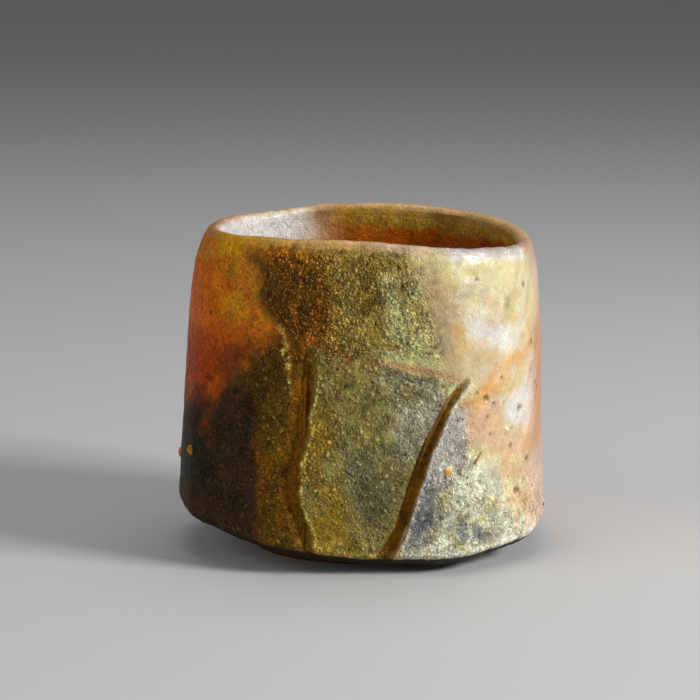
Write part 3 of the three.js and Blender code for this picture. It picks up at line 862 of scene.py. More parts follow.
    def outer(self, angle: Array, height: Array, place: Array) -> Array:
        """Colours of the wall's outside: the flashing round the cup, each zone laid over it, then mottling.

        The mottling is 1 + 0.18 n(3 mm) + 0.16 n(0.9 mm), and the right flank has slanting wipe marks.

        Args:
            angle, height: places on the wall.
            place: the same places in space.

        Returns:
            Colours in linear light.
        """
        turned = angle + 8 * layered_noise(place, 16, 21)
        tint = around(tuple(glaze.linear for glaze in self.ring), turned)
        rough = 1.3 * layered_noise(place, 5.0, 22, 5, 0.65)
        tint = self.laid(tint, self.outside, angle, height, place, rough)
        across = angle * DEGREE_MM
        run, climb = self.wipe_slant
        along = (across * run + height * climb) / self.wipe_stretch
        slant = np.stack([along, across * climb - height * run, 0 * height], -1)
        wiped = smooth_step(28, 40, angle) * smooth_step(100, 80, angle) * smooth_step(10, 20, height)
        mottle = 0.18 * layered_noise(place, 3.0, 25, 4) + 0.16 * soft_noise(place, 0.9, 28)
        gain = 1 + mottle * (1 - 0.5 * wiped)
        gain = gain + 0.14 * wiped * layered_noise(slant, 1.3, 26, 2)
        return tint * gain[..., None]

    def lip(self, angle: Array, place: Array) -> Array:
        """Colours of the worn lip round the cup."""
        turned = angle + 10 * layered_noise(place, 6.0, 30)
        return around(tuple(glaze.linear for glaze in self.lip_ring), turned)

    def crust(self, angle: Array, peak: Array) -> Array:
        """Colours of the gathered crust: yellow on the left, paler on the right, lighter on its grains."""
        tint = blend(Glaze.BEAD.linear, Glaze.CHALK.linear, smooth_step(6, 22, angle))
        # lighter on the grains' tops: partly the crust's own tone, partly painted light
        return tint * (0.85 + 0.4 * peak)[..., None]

    def groove(self, place: Array, flank: Array) -> Array:
        """Colours of the glass in the grooves: brown and olive, with rust in the left one.

        Args:
            place: points in space.
            flank: how near a groove's left wall they are, from 0 to 1, darkened there as painted shade.

        Returns:
            Colours in linear light.
        """
        mix = smooth_step(-0.3, 0.7, layered_noise(place, 3.0, 18))
        olive = blend(Glaze.TREACLE.linear, Glaze.BRONZE.linear, mix)
        spots = smooth_step(0.1, 0.5, layered_noise(place, 4.0, 29, 4)) * smooth_step(0, -4, place[..., 0])
        tip = smooth_step(25, 36, place[..., 2]) * smooth_step(0, 4, place[..., 0])
        olive = blend(olive, Glaze.AMBER.linear, 0.45 * tip)
        flecks = 1 + 0.8 * layered_noise(place, 0.8, 15, 2, 0.7)
        tint = blend(olive, Glaze.RUST.linear, 0.5 * spots) * flecks[..., None]
        # painted shade: the glass darkened towards each groove's left wall, which the lamp on the right
        # lights
        return tint * (1 - 0.5 * flank)[..., None]

    def inner(self, angle: Array, height: Array, place: Array) -> Array:
        """Colours of the bowl: red-brown clay with ash under the lip.

        Args:
            angle, height: places on the bowl's side.
            place: the same places in space.

        Returns:
            Colours in linear light.
        """
        mix = smooth_step(-0.4, 0.6, layered_noise(place, 9, 23))
        tint = blend(Glaze.LIVER.linear, Glaze.ORANGE.linear, 0.5 * mix)
        rough = layered_noise(place, 3.5, 24, 4)
        tint = self.laid(tint, self.inside, angle % 360, height, place, rough)
        return tint * (1 + 0.13 * layered_noise(place, 2.5, 27, 4))[..., None]

    def laid(
        self, tint: Array, zones: tuple[Zone, ...], angle: Array, height: Array, place: Array, rough: Array
    ) -> Array:
        """Colours with zones laid over them in order.

        Args:
            tint: the colours below.
            zones: the zones, the lowest first.
            angle, height, place: places on the surface and in space.
            rough: a noise that makes the zones' edges ragged.

        Returns:
            Colours in linear light.
        """
        for zone in zones:
            tint = blend(tint, zone.glaze.linear, zone.mask(angle, height, place, rough))
        return tint


@dataclass(frozen=True)
class AshFall:
    """Where ash fell, and how its grains lie, for the clay and for the patches that stand on it.

    Each area's glaze is the colour of its palest grains. Bare areas have few or none.
    """

    areas: tuple[Zone, ...] = (
        Zone(Glaze.BONE, (
            (-41, 63), (16.5, 63), (20, 55), (25, 44), (28, 38), (34, 36), (31, 30), (9, 2),
            (-24, 2), (-22, 36), (-26, 44), (-34, 48),
        ), 1.4, 1.8),
        Zone(Glaze.KHAKI, (
            (-46, 60), (-14, 60), (-11.5, 52), (-13, 46), (-16, 40), (-22, 36), (-26, 44), (-34, 48),
            (-38, 51), (-38, 55),
        ), 1.4, 1.8, 0.7),
        Zone(Glaze.CRUST, (
            (-27, 45), (-38, 42.5), (-48, 34), (-57, 26), (-66, 20), (-64, 4), (-23, 2), (-22, 38),
        ), 2.2, 2.2, 0.85),
        Zone(Glaze.BONE, (
            (33, 34), (37, 28), (42, 20), (49, 15), (62, 8), (62, 2), (9, 2), (22, 20),
        ), 3.5, 3.5),
    )
    bare: tuple[Zone, ...] = (
        Zone(Glaze.SHELL, (
            (6, 40.6), (15, 40.2), (21, 40.3), (26, 39.6), (35, 37.6), (34, 35.2), (25.8, 36.6),
            (16, 37.5), (9, 38.7),
        ), 0.6, 0.5),
        Zone(Glaze.AMBER, ((-21, 15), (-9, 14), (-2, 8), (-4, 4), (-20, 4)), 2.0, 2.0, 0.3),
    )
    seed: int = 50

    def grit(
        self, angle: Array, height: Array, place: Array, fine: bool
    ) -> tuple[Array, Array, Array, Array]:
        """Grains of three sizes on swaying places, denser where a broad noise is high, with holes between.

        The lower facets have fewer small grains and more large beads than the upper patch.

        Args:
            angle, height, place: places on the wall and in space.
            fine: whether the smallest grains are wanted too.

        Returns:
            The grains' height in millimetres, the gain and the glow they give the colour, and how near a top
            each place is. The gain and the glow are partly the ash's own tone and partly painted light and
            shade: lighter tops, darker ground and holes, and pale highlight on the brightest tops.
        """
        rough = 1.2 * layered_noise(place, 4.0, self.seed, 4, 0.6)
        cover, pale = np.zeros_like(height), np.zeros(height.shape + (3,))
        for area in self.areas:
            mask = area.mask(angle, height, place, rough)
            pale = blend(pale, area.glaze.linear, mask)
            cover = np.maximum(cover, mask)
        for area in self.bare:
            cover = cover * (1 - area.mask(angle, height, place, rough))
        crowd = 0.5 * smooth_step(38, 44, height + 3 * rough)
        across = angle * DEGREE_MM + 0.2 * soft_noise(place, 0.8, self.seed + 4)
        up = height + 0.2 * soft_noise(place, 0.8, self.seed + 5)
        dense = smooth_step(-0.45, 0.6, layered_noise(place, 4.5, self.seed + 3, 4, 0.7) + crowd)
        clot = smooth_step(-0.25, 0.4, layered_noise(place, 2.2, self.seed + 9, 4, 0.65))
        veil = layered_noise(place, 0.9, self.seed + 10, 2, 0.7)
        beaded = smooth_step(42, 38, height)
        share = (0.06 + 0.34 * dense) * (1 - 0.3 * beaded)
        middle, tone = grains(across, up, 0.62, 0.32, share, self.seed + 2)
        share = 0.06 + 0.14 * dense + (0.1 + 0.14 * dense) * beaded
        lumps, lump_tone = grains(across, up, 1.7, 0.5, share, self.seed + 6)
        lump_tone = lump_tone + 0.4 * beaded * (1 - lump_tone)
        holes, _ = grains(across, up, 1.2, 0.34, 0.16 + 0.3 * smooth_step(26, 34, angle), self.seed + 11)
        holes = np.clip(holes / 0.3, 0, 1) * (middle <= 0) * (lumps <= 0)
        rise = (middle + 0.9 * lumps + 0.12 * clot + 0.08 * veil - 0.3 * holes) * cover
        peak = np.maximum(middle / 0.32, lumps / 0.5)
        tone = np.where(lumps > middle, lump_tone, tone)
        if fine:
            share = (0.15 + 0.6 * dense) * (1 - 0.4 * beaded)
            small, small_tone = grains(across, up, 0.34, 0.2, share, self.seed + 1)
            tone = np.where(small / 0.2 > peak, small_tone, tone)
            peak = np.maximum(peak, small / 0.2)
            sand = 0.06 * soft_noise(place, 0.5, self.seed + 7)
            sand = sand + 0.04 * soft_noise(place, 0.27, self.seed + 8)
            rise = rise + (small + sand) * cover
        peak = np.clip(1.3 * peak, 0, 1) * cover
        # Grain tops are lightened and the ground and holes between them darkened: partly the ash's own tone
        # and partly painted light and shade for the grains' relief. The glow is pale colour on the brightest
        # tops, partly their own colour and partly a painted highlight.
        bright = peak * smooth_step(0.3, 1.0, tone)
        rusty = (peak * smooth_step(0.3, 0.05, tone))[..., None] * np.array([0.0, 0.25, 0.45])
        ground = -0.2 - 0.22 * dense + 0.05 * beaded + (0.4 - 0.12 * beaded) * veil
        gain = 1 + cover * (ground + (0.26 + 0.3 * dense) * peak + 0.35 * (clot - 0.5))
        gain = (gain + 0.62 * bright) * (1 - 0.55 * cover * holes)
        gain = np.maximum(gain, 0.2)[..., None] * (1 - rusty)
        return rise, gain, 0.07 * pale * bright[..., None], peak


def ring_skin(name: str, rings: Array, tint: Array, wet: Array) -> bpy.types.Object:
    """Makes a closed mesh from rings of points: four-sided faces between them, and a flat cap on each end.

    The map for baking lays the rings out as a rectangle and the two caps as small discs in its corner.

    Args:
        name: the piece's name.
        rings: points in millimetres, shape (rings, points in a ring, 3).
        tint: colours in linear light, of the same shape.
        wet: how glassy the surface is, from 0 to 1, shape (rings, points in a ring).

    Returns:
        The new object, in metres, with a map for baking and the attributes "tint" and "wet".
    """
    count, size = rings.shape[:2]
    index = np.arange(count * size).reshape(count, size)
    beside = np.roll(index, -1, axis=1)
    quads = np.stack([index[:-1], beside[:-1], beside[1:], index[1:]], -1).reshape(-1, 4)
    grid = (count - 1, size)
    step, climb = np.linspace(0.01, 0.99, size + 1), np.linspace(0.02, 0.99, count)[:, None]
    left, right = np.broadcast_to(step[:-1], grid), np.broadcast_to(step[1:], grid)
    low, high = np.broadcast_to(climb[:-1], grid), np.broadcast_to(climb[1:], grid)
    corners = [np.stack(pair, -1) for pair in ((left, low), (right, low), (right, high), (left, high))]
    uv = np.stack(corners, 2).reshape(-1, 4, 2)
    points = rings.reshape(-1, 3)
    a, b, c, d = (points[quads[:, k]] for k in range(4))
    volume = (np.cross(b, c) * a).sum() + (np.cross(c, d) * a).sum()
    turn = np.linspace(0, 2 * np.pi, size, endpoint=False)
    disc = 0.006 + 0.004 * np.stack([np.cos(turn), np.sin(turn)], -1)
    caps = [index[0][::-1], index[-1]]
    if volume < 0:
        quads, uv, caps = quads[:, ::-1], uv[:, ::-1], [cap[::-1] for cap in caps]
    mesh = bpy.data.meshes.new(name)
    mesh.from_pydata(points * MM, [], quads.tolist() + [cap.tolist() for cap in caps])
    mesh.polygons.foreach_set("use_smooth", np.ones(len(mesh.polygons), bool))
    layer = mesh.uv_layers.new(name="OFBake")
    laid_out = np.vstack([uv.reshape(-1, 2), disc, disc + (0.02, 0)])
    layer.uv.foreach_set("vector", laid_out.ravel().astype(np.float32))
    colour = np.concatenate([tint.reshape(-1, 3), np.ones((len(points), 1))], 1)
    colours = mesh.attributes.new("tint", "FLOAT_COLOR", "POINT")
    colours.data.foreach_set("color", colour.ravel().astype(np.float32))
    mesh.attributes.new("wet", "FLOAT", "POINT").data.foreach_set("value", wet.ravel().astype(np.float32))
    mesh.update()
    piece = bpy.data.objects.new(name, mesh)
    bpy.context.scene.collection.objects.link(piece)
    return piece


def patch_skin(name: str, face: Array, back: Array, tint: Array, wet: Array) -> bpy.types.Object:
    """Makes a closed mesh whose rings run along an outer face and return behind it, inside the clay.

    Args:
        name: the piece's name.
        face: points of the face in millimetres, shape (rings, points in a ring, 3).
        back: the two points behind the last and the first point of each ring.
        tint, wet: the face's colours and how glassy it is. The points behind take them from its ends.

    Returns:
        The new object, as ring_skin makes it.
    """
    tint, wet = (np.concatenate([values, values[:, RING_ENDS]], 1) for values in (tint, wet))
    return ring_skin(name, np.concatenate([face, back], 1), tint, wet)


def add_node(tree: bpy.types.NodeTree, kind: str, **inputs: object) -> bpy.types.Node:
    """Adds a shader node and sets its inputs: a socket is linked, and anything else becomes the default.

    Args:
        tree: the tree that the node goes in.
        kind: the node's type, without its common start.
        inputs: values by input name, with _ for a space, or by i and the input's number. A name that the
            node has as its own property is set there.

    Returns:
        The new node.
    """
    node = tree.nodes.new("ShaderNode" + kind)
    for key, value in inputs.items():
        if hasattr(node, key):
            setattr(node, key, value)
    for key, value in inputs.items():
        if hasattr(node, key):
            continue
        sockets = [s for s in node.inputs if s.enabled and s.name == key.replace("_", " ")]
        socket = sockets[0] if sockets else node.inputs[int(key[1:])]
        if isinstance(value, bpy.types.NodeSocket):
            tree.links.new(value, socket)
        else:
            socket.default_value = value
    return node


def fired_surface_group() -> bpy.types.NodeTree:
    """The shared look of the fired surface: mottled colour, specks, uneven gloss, wrinkles and grit.

    Colour is the tint times 1 + mottle * (broad and fine noises), darkened where the finest noise is low and
    lightened where it is high. Mottling and specks fade where the surface is glassy. Roughness is the gloss
    less a share of the wetness, and the height is the sum of the finer noises.

    Returns:
        A node group.
    """
    tree = bpy.data.node_groups.new("fired_surface", "ShaderNodeTree")
    sockets = {
        "INPUT": {
            "Place": "Vector", "Tint": "Color", "Wet": "Float", "Mottle": "Float", "Specks": "Float",
            "Gloss": "Float",
        },
        "OUTPUT": {"Colour": "Color", "Roughness": "Float", "Height": "Float"},
    }
    for way, labels in sockets.items():
        for label, kind in labels.items():
            tree.interface.new_socket(name=label, in_out=way, socket_type="NodeSocket" + kind)
    given = tree.nodes.new("NodeGroupInput").outputs

    def noise(size: str, place: Socket, **shape: float) -> Socket:
        """A noise of a named size."""
        return add_node(tree, "TexNoise", Vector=place, Scale=NOISE_PER_M[size], **shape).outputs["Fac"]

    def sum_of(a: Socket, b: Socket) -> Socket:
        """The sum a + b."""
        return add_node(tree, "Math", operation="ADD", i0=a, i1=b).outputs[0]

    def product(a: Socket, b: Socket) -> Socket:
        """The product a * b."""
        return add_node(tree, "Math", operation="MULTIPLY", i0=a, i1=b).outputs[0]

    def line(a: Socket, slope: object, start: object, clamp: bool = False) -> Socket:
        """The straight line a * slope + start, held between 0 and 1 where wanted."""
        node = add_node(tree, "Math", operation="MULTIPLY_ADD", i0=a, i1=slope, i2=start, use_clamp=clamp)
        return node.outputs[0]

    def scaled(colour: Socket, by: object) -> Socket:
        """A colour times a number."""
        return add_node(tree, "VectorMath", operation="SCALE", Vector=colour, Scale=by).outputs[0]

    def speckle(start: float, end: float, most: Socket) -> Socket:
        """A mask that goes from 0 to most as the fine noise goes from start to end."""
        return add_node(tree, "MapRange", Value=fine, From_Min=start, From_Max=end, To_Max=most).outputs[0]

    def mixed(mask: Socket, a: Socket, b: Socket) -> Socket:
        """The colour a with b laid over it by a mask."""
        node = add_node(tree, "Mix", data_type="RGBA", i0=mask, A=a, B=b)
        return [s for s in node.outputs if s.enabled][0]

    broad = noise("broad", given["Place"], Detail=4.0, Roughness=0.6)
    middle = noise("middle", given["Place"], Detail=3.0, Roughness=0.6)
    fine = noise("fine", given["Place"], Detail=2.0, Roughness=0.5)
    leaning = add_node(
        tree, "Mapping", vector_type="TEXTURE", Vector=given["Place"],
        Rotation=(0.0, -0.6, 0.0), Scale=(1.0, 1.0, 2.4),
    ).outputs[0]
    hide = noise("hide", leaning, Detail=2.0, Distortion=1.0)
    swing = line(sum_of(broad, middle), 2.0, -2.0)
    small = sum_of(hide, fine)
    uneven_tone = sum_of(swing, line(small, 2.4, -2.4))
    dry = line(given["Wet"], -0.85, 1.0)
    mottle, specks = product(given["Mottle"], dry), product(given["Specks"], dry)
    mottled = scaled(given["Tint"], line(uneven_tone, mottle, 1.0))
    darkened = mixed(speckle(0.42, 0.32, specks), mottled, scaled(mottled, 0.35))
    light = add_node(
        tree, "VectorMath", operation="MULTIPLY_ADD",
        i0=mottled, i1=(1.3, 1.3, 1.2), i2=(0.08, 0.066, 0.024),
    ).outputs[0]
    results = {
        "Colour": mixed(speckle(0.58, 0.68, specks), darkened, light),
        "Roughness": line(given["Wet"], -0.14, line(swing, -0.12, given["Gloss"]), True),
        "Height": line(middle, 0.6, small),
    }
    out = tree.nodes.new("NodeGroupOutput")
    for label, socket in results.items():
        tree.links.new(socket, out.inputs[label])
    return tree


@dataclass(frozen=True)
class Finish:
    """A fired finish: how even its colour is, how it shines, and how gritty it is."""

    name: str
    gloss: float
    coat: float
    mottle: float
    specks: float
    grit: float

    def material(self, surface: bpy.types.NodeTree) -> bpy.types.Material:
        """Makes the material from the shared surface group.

        Args:
            surface: the fired surface group.

        Returns:
            The material, coloured by the piece's own tint.
        """
        made = bpy.data.materials.new(self.name)
        made.use_nodes = True
        tree = made.node_tree
        tree.nodes.clear()
        place = add_node(tree, "TexCoord").outputs["Object"]
        tint = add_node(tree, "Attribute", attribute_name="tint").outputs["Color"]
        wet = add_node(tree, "Attribute", attribute_name="wet").outputs["Fac"]
        fired = tree.nodes.new("ShaderNodeGroup")
        fired.node_tree = surface
        for label, value in (("Place", place), ("Tint", tint), ("Wet", wet)):
            tree.links.new(value, fired.inputs[label])
        for label, value in (("Mottle", self.mottle), ("Specks", self.specks), ("Gloss", self.gloss)):
            fired.inputs[label].default_value = value
        coat = add_node(tree, "Math", operation="MULTIPLY", i0=wet, i1=self.coat).outputs[0]
        bump = add_node(tree, "Bump", Strength=1.0, Distance=self.grit * MM, Height=fired.outputs["Height"])
        shader = add_node(
            tree, "BsdfPrincipled", Base_Color=fired.outputs["Colour"], Roughness=fired.outputs["Roughness"],
            Normal=bump.outputs["Normal"], Coat_Weight=coat, Coat_Roughness=COAT_ROUGHNESS,
            Specular_IOR_Level=SPECULAR_LEVEL, Specular_Tint=WARM_SHINE,
        )
        out = tree.nodes.new("ShaderNodeOutputMaterial")
        tree.links.new(shader.outputs["BSDF"], out.inputs["Surface"])
        return made


class Kiln(Enum):
    """The finishes of the cup."""

    CLAY = Finish("fired_clay", 0.48, 1.0, 0.6, 0.45, 0.18)
    ASH = Finish("ash_crust", 0.5, 0.25, 0.5, 0.7, 0.14)
    CHAR = Finish("charred_ash", 0.48, 0.15, 0.75, 0.9, 0.16)
    GLASS = Finish("amber_glass", 0.45, 0.1, 0.55, 0.6, 0.12)
    STONE = Finish("feldspar", 0.4, 0.3, 0.25, 0.3, 0.06)


def seat(piece: bpy.types.Object, finish: bpy.types.Material, slot: str, *nodes: str) -> None:
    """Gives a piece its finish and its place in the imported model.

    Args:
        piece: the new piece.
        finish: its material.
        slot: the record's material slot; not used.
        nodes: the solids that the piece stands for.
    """
    piece.data.materials.append(finish)
    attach(piece, "root")
    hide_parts(*nodes)


@dataclass
class ClayBody:
    """The clay vessel: foot, bevelled edge, wall, lip and bowl in one skin."""

    form: CupForm
    colours: KilnColours
    ash: AshFall
    front_columns: int = 276
    back_columns: int = 122
    front_reach: float = 66.0
    wall_rows: int = 150
    lip_rows: int = 18
    side_rows: int = 30
    floor_rows: int = 18
    # share of the wall's colour kept on the underside: painted shade under the cup
    underside_painted_shade: float = 0.14
    bowl_wet: float = 0.6

    def columns(self) -> Array:
        """Angles of the columns, closer together over the front.

        Returns:
            Angles once round the cup.
        """
        front = np.linspace(-self.front_reach, self.front_reach, self.front_columns, endpoint=False)
        back = np.linspace(self.front_reach, 360 - self.front_reach, self.back_columns, endpoint=False)
        return np.concatenate([front, back])

    def foot(self, angle: Array) -> Array:
        """Rings from the middle of the foot out to the wall's lower edge.

        The section runs along the recess, down its slope, along the flat ring, up the foot, out under the
        wall and up the bevel. Corners are softened by the spacing of the rings.

        Args:
            angle: the columns' angles.

        Returns:
            Points, shape (rings, columns, 3).
        """
        form = self.form
        inner = form.foot_radius - form.foot_ring
        under = form.edge(angle) - form.bevel_height
        wall = form.wall_radius(angle, np.zeros_like(angle))
        corners = (
            (0.4, form.foot_recess, 6), (inner - form.foot_recess, form.foot_recess, 3), (inner, 0.0, 4),
            (form.foot_radius, 0.0, 4), (form.foot_radius + form.foot_flare, under - form.undercut, 7),
            (wall - form.bevel_depth, under, 6), (wall - 0.15, form.edge(angle) - 0.15, 0),
        )
        rings = []
        for (r0, z0, steps), (r1, z1, _) in zip(corners, corners[1:]):
            for t in np.arange(steps) / steps:
                radius, height = r0 + (r1 - r0) * t + 0 * angle, z0 + (z1 - z0) * t + 0 * angle
                rings.append(form.point(angle, radius, height, 0))
        made = np.stack(rings)
        raised = smooth_step(0.2, 1.0, made[..., 2])
        made[..., 2] += raised * (0.15 * layered_noise(made, 3.0, 31) + 0.1 * soft_noise(made, 9, 32))
        return made

    def wall(self, angle: Array) -> tuple[Array, Array, Array]:
        """Rings of the wall's outside: the cut wall with its dents, grooves, pits, pores, grit and crust.

        Args:
            angle: the columns' angles.

        Returns:
            Points, shape (rings, columns, 3), their colours, and how glassy they are.
        """
        form = self.form
        share = np.linspace(0, 1, self.wall_rows)[:, None] + 0 * angle
        angle = angle + 0 * share
        height = form.level(angle, share)
        plain = form.point(angle, form.wall_radius(angle, share), height, share)
        carved, groove, flank = form.carved(angle, share, plain)
        turned = (angle + 180) % 360 - 180
        dent, pit = form.pitted(turned, height)
        pores, _ = grains(turned * DEGREE_MM, height, 2.4, 0.4, 0.25, 14)
        pores *= smooth_step(32, 42, turned) * smooth_step(90, 74, turned) * smooth_step(46, 36, height)
        grit, gain, glow, peak = self.ash.grit(turned, height, plain, False)
        ridge, crust = form.crusted(turned, height, share, plain)
        worn = 0.25 * np.exp(-share * SHARE_MM / 0.3)
        relief = dented(plain, form.dents) - carved + dent - worn - 0.5 * pores + grit * (1 - groove) + ridge
        made = form.point(angle, form.wall_radius(angle, share) + relief, height, share)
        # the ash's gain and glow carry painted light and shade on its grains, and the groove colour painted
        # shade on its left walls
        tint = self.colours.outer(turned, height, plain) * gain + glow
        tint = blend(tint, self.colours.groove(plain, flank), groove)
        tint = tint * (1 - 0.6 * np.maximum(pit, smooth_step(0.05, 0.3, pores)))[..., None]
        rim = np.exp(-share * SHARE_MM / 0.6) * smooth_step(-28, -10, turned) * smooth_step(75, 60, turned)
        rim *= smooth_step(-0.2, 0.5, layered_noise(plain, 2.0, 19))
        crust = np.maximum(0.55 * rim, 0.85 * crust * (1 - 0.8 * groove))
        tint = blend(tint, self.colours.crust(turned, peak), crust)
        worn_lip = smooth_step(0.986, 1.004, share + 0.012 * layered_noise(plain, 2.0, 20))
        tint = blend(tint, self.colours.lip(turned, plain), 0.75 * worn_lip)
        glassy = turned + 12 * smooth_step(33, 41, height)
        flank = smooth_step(26, 42, glassy) * smooth_step(140, 95, turned) * smooth_step(8, 22, height)
        return made, tint, np.maximum(0.08 + 0.82 * flank, 0.12 * groove)

    def lip(self, angle: Array) -> Array:
        """Rings over the lip: half an ellipse from the outside of the wall to the side of the bowl.

        Args:
            angle: the columns' angles.

        Returns:
            Points, shape (rings, columns, 3).
        """
        form = self.form
        one = np.ones_like(angle)
        outside, inside = form.wall_radius(angle, one), form.bowl_radius(angle, one)
        turn = np.linspace(0, np.pi, self.lip_rows)[1:-1, None]
        radius = (outside + inside) / 2 + (outside - inside) / 2 * np.cos(turn)
        height = form.level(angle, one) + form.lip_crown * np.sin(turn)
        made = form.point(angle + 0 * turn, radius, height, 1)
        uneven = dented(made, form.lip_dents) + 0.1 * layered_noise(made, 1.2, 38)
        made[..., 2] -= (0.35 + uneven) * np.sin(turn)
        return made

    def bowl(self, angle: Array) -> Array:
        """Rings of the bowl: its side, then a rounded lower part r cos^(2/n), z sin^(2/n).

        Args:
            angle: the columns' angles.

        Returns:
            Points, shape (rings, columns, 3).
        """
        form = self.form
        low = form.share_of(angle, form.floor + form.rounding)
        share = 1 + (low - 1) * np.linspace(0, 1, self.side_rows)[:, None]
        turned = angle + 0 * share
        side = form.point(turned, form.bowl_radius(turned, share), form.level(turned, share), share)
        turn = np.linspace(0, np.pi / 2, self.floor_rows)[1:, None] * 0.995
        radius = form.bowl_radius(angle, low) * np.cos(turn) ** (2 / form.bowl_power)
        height = form.floor + form.rounding * (1 - np.sin(turn) ** (2 / form.bowl_power))
        floor = form.point(angle + 0 * turn, radius, height + 0 * angle, low + 0 * turn)
        made = np.concatenate([side, floor])
        inward = -made * (1, 1, 0) / np.maximum(np.linalg.norm(made[..., :2], axis=-1), 1)[..., None]
        return made + inward * dented(made, form.bowl_dents)[..., None]

    def build(self, finish: bpy.types.Material) -> bpy.types.Object:
        """Makes the vessel and gives it its finish.

        Args:
            finish: the clay's material.

        Returns:
            The piece that stands for the clay body.
        """
        angle = self.columns()
        turned = (angle + 180) % 360 - 180
        foot, lip, bowl = self.foot(angle), self.lip(angle), self.bowl(angle)
        wall, wall_tint, wall_wet = self.wall(angle)
        # painted shade: the underside takes the wall's colours, dimmed, for the dark under the cup
        under = self.colours.outer(turned + 0 * foot[..., 2], foot[..., 2] + 1.5, foot) * self.underside_painted_shade
        bare = smooth_step(29, 25, np.hypot(foot[..., 0], foot[..., 1]))
        # char under the edge, partly real char and partly painted shade; the bare foot's clay dimmed to 0.6
        under = blend(under, Glaze.CHAR.linear * 0.5, 0.75 * (1 - bare))
        under = blend(under, Glaze.BARE.linear * 0.6, bare)
        inside = self.colours.inner(turned + 0 * bowl[..., 2], bowl[..., 2], bowl)
        across_lip = np.linspace(0, 1, len(lip))[:, None]
        over = blend(wall_tint[-1], inside[0], smooth_step(0.35, 0.95, across_lip + 0 * turned))
        wide = 0.22 + 0.4 * smooth_step(80, 120, np.abs(turned))
        crest = np.exp(-(((across_lip - 0.4) / wide) ** 2))
        crest = crest * smooth_step(-0.8, 0.1, layered_noise(lip, 3.0, 37))
        over = blend(over, self.colours.lip(turned + 0 * across_lip, lip), 0.85 * crest)
        over = over * (1 + 0.3 * layered_noise(lip, 1.2, 39))[..., None]
        rings = np.concatenate([foot, wall, lip, bowl])
        tint = np.concatenate([under, wall_tint, over, inside])
        wet = np.full(rings.shape[:2], self.bowl_wet)
        wet[: len(foot)] = 0
        wet[len(foot) : len(foot) + len(wall)] = wall_wet
        piece = ring_skin("clay_cup", rings, tint, wet)
        seat(piece, finish, "fired_clay", "clay_body")
        return piece


@dataclass
class AshPatch:
    """A patch of ash on the wall, between four lines of angle and share.

    Fades say how far from its left, right, bottom and top it sinks back into the clay, in millimetres. The
    film is its thickness, the sink is how far its sides lie under the clay, and the root is how deep it
    reaches.
    """

    name: str
    node: str
    slot: str
    form: CupForm
    colours: KilnColours
    ash: AshFall
    fades: tuple[float, float, float, float]
    bottom: Line
    top: Line
    left: Line
    right: Line
    cells: tuple[int, int]
    film: float = 0.19
    sink: float = 0.13
    root: float = 1.0

    def chart(self) -> tuple[Array, Array]:
        """The grid between the four lines: the sum of the two ruled sheets less the corners' sheet.

        Returns:
            Angles and shares, one for each place of the grid.
        """
        u = np.linspace(0, 1, self.cells[0] + 1)[:, None, None]
        v = np.linspace(0, 1, self.cells[1] + 1)[None, :, None]

        def along(line: Line, t: Array) -> Array:
            """Points of a line at shares of its count of corners.

            Args:
                line: the line's corners.
                t: the shares, with a last axis of one.

            Returns:
                Points as angle and share.
            """
            table = np.asarray(line, float)
            where = np.linspace(0, 1, len(table))
            return np.stack([np.interp(t[..., 0], where, table[:, k]) for k in (0, 1)], -1)

        low, high = along(self.bottom, u), along(self.top, u)
        left, right = along(self.left, v), along(self.right, v)
        corners = (1 - v) * ((1 - u) * low[:1] + u * low[-1:]) + v * ((1 - u) * high[:1] + u * high[-1:])
        made = (1 - v) * low + v * high + (1 - u) * left + u * right - corners
        return made[..., 0], made[..., 1]

    def cover(self, angle: Array, share: Array) -> Array:
        """How far the patch stands out of the clay.

        Args:
            angle, share: places on the wall.

        Returns:
            Numbers from 0 at its sides to 1 inside.
        """
        total = np.ones_like(angle)
        for side, fade in zip((self.left, self.right, self.bottom, self.top), self.fades):
            gap, _ = line_gap(angle * DEGREE_MM, share * SHARE_MM, unrolled(side))
            total *= smooth_step(0.02, fade, np.abs(gap))
        return total

    def build(self, finish: bpy.types.Material) -> bpy.types.Object:
        """Makes the patch as a closed skin: each ring runs up its outer face and back inside the clay.

        The outer face stands its film, grains and ridges above the clay, and dips under it at the sides.

        Args:
            finish: the ash's material.

        Returns:
            The piece that stands for the patch's node.
        """
        form = self.form
        angle, share = self.chart()
        height = form.level(angle, share)
        base = form.wall_radius(angle, share)
        plain = form.point(angle, base, height, share)
        edge = self.cover(angle, share)
        grit, gain, glow, peak = self.ash.grit(angle, height, plain, True)
        ridge, gathered = form.crusted(angle, height, share, plain)
        carved, groove, flank = form.carved(angle, share, plain)
        relief = dented(plain, form.dents) - carved + grit + ridge
        face = form.point(angle, base + relief + self.film * edge - self.sink, height, share)
        back = form.behind(angle, base - self.root, height, share)
        # the ash's gain and glow carry painted light and shade on its grains, and the groove colour painted
        # shade on its left walls
        tint = self.colours.outer(angle, height, plain) * gain + glow
        tint = blend(tint, self.colours.groove(plain, flank), groove)
        tint = blend(tint, self.colours.crust(angle, peak), 0.9 * gathered * (1 - 0.8 * groove))
        piece = patch_skin(self.name, face, back, tint, 0.15 + 0.6 * peak)
        seat(piece, finish, self.slot, self.node)
        return piece


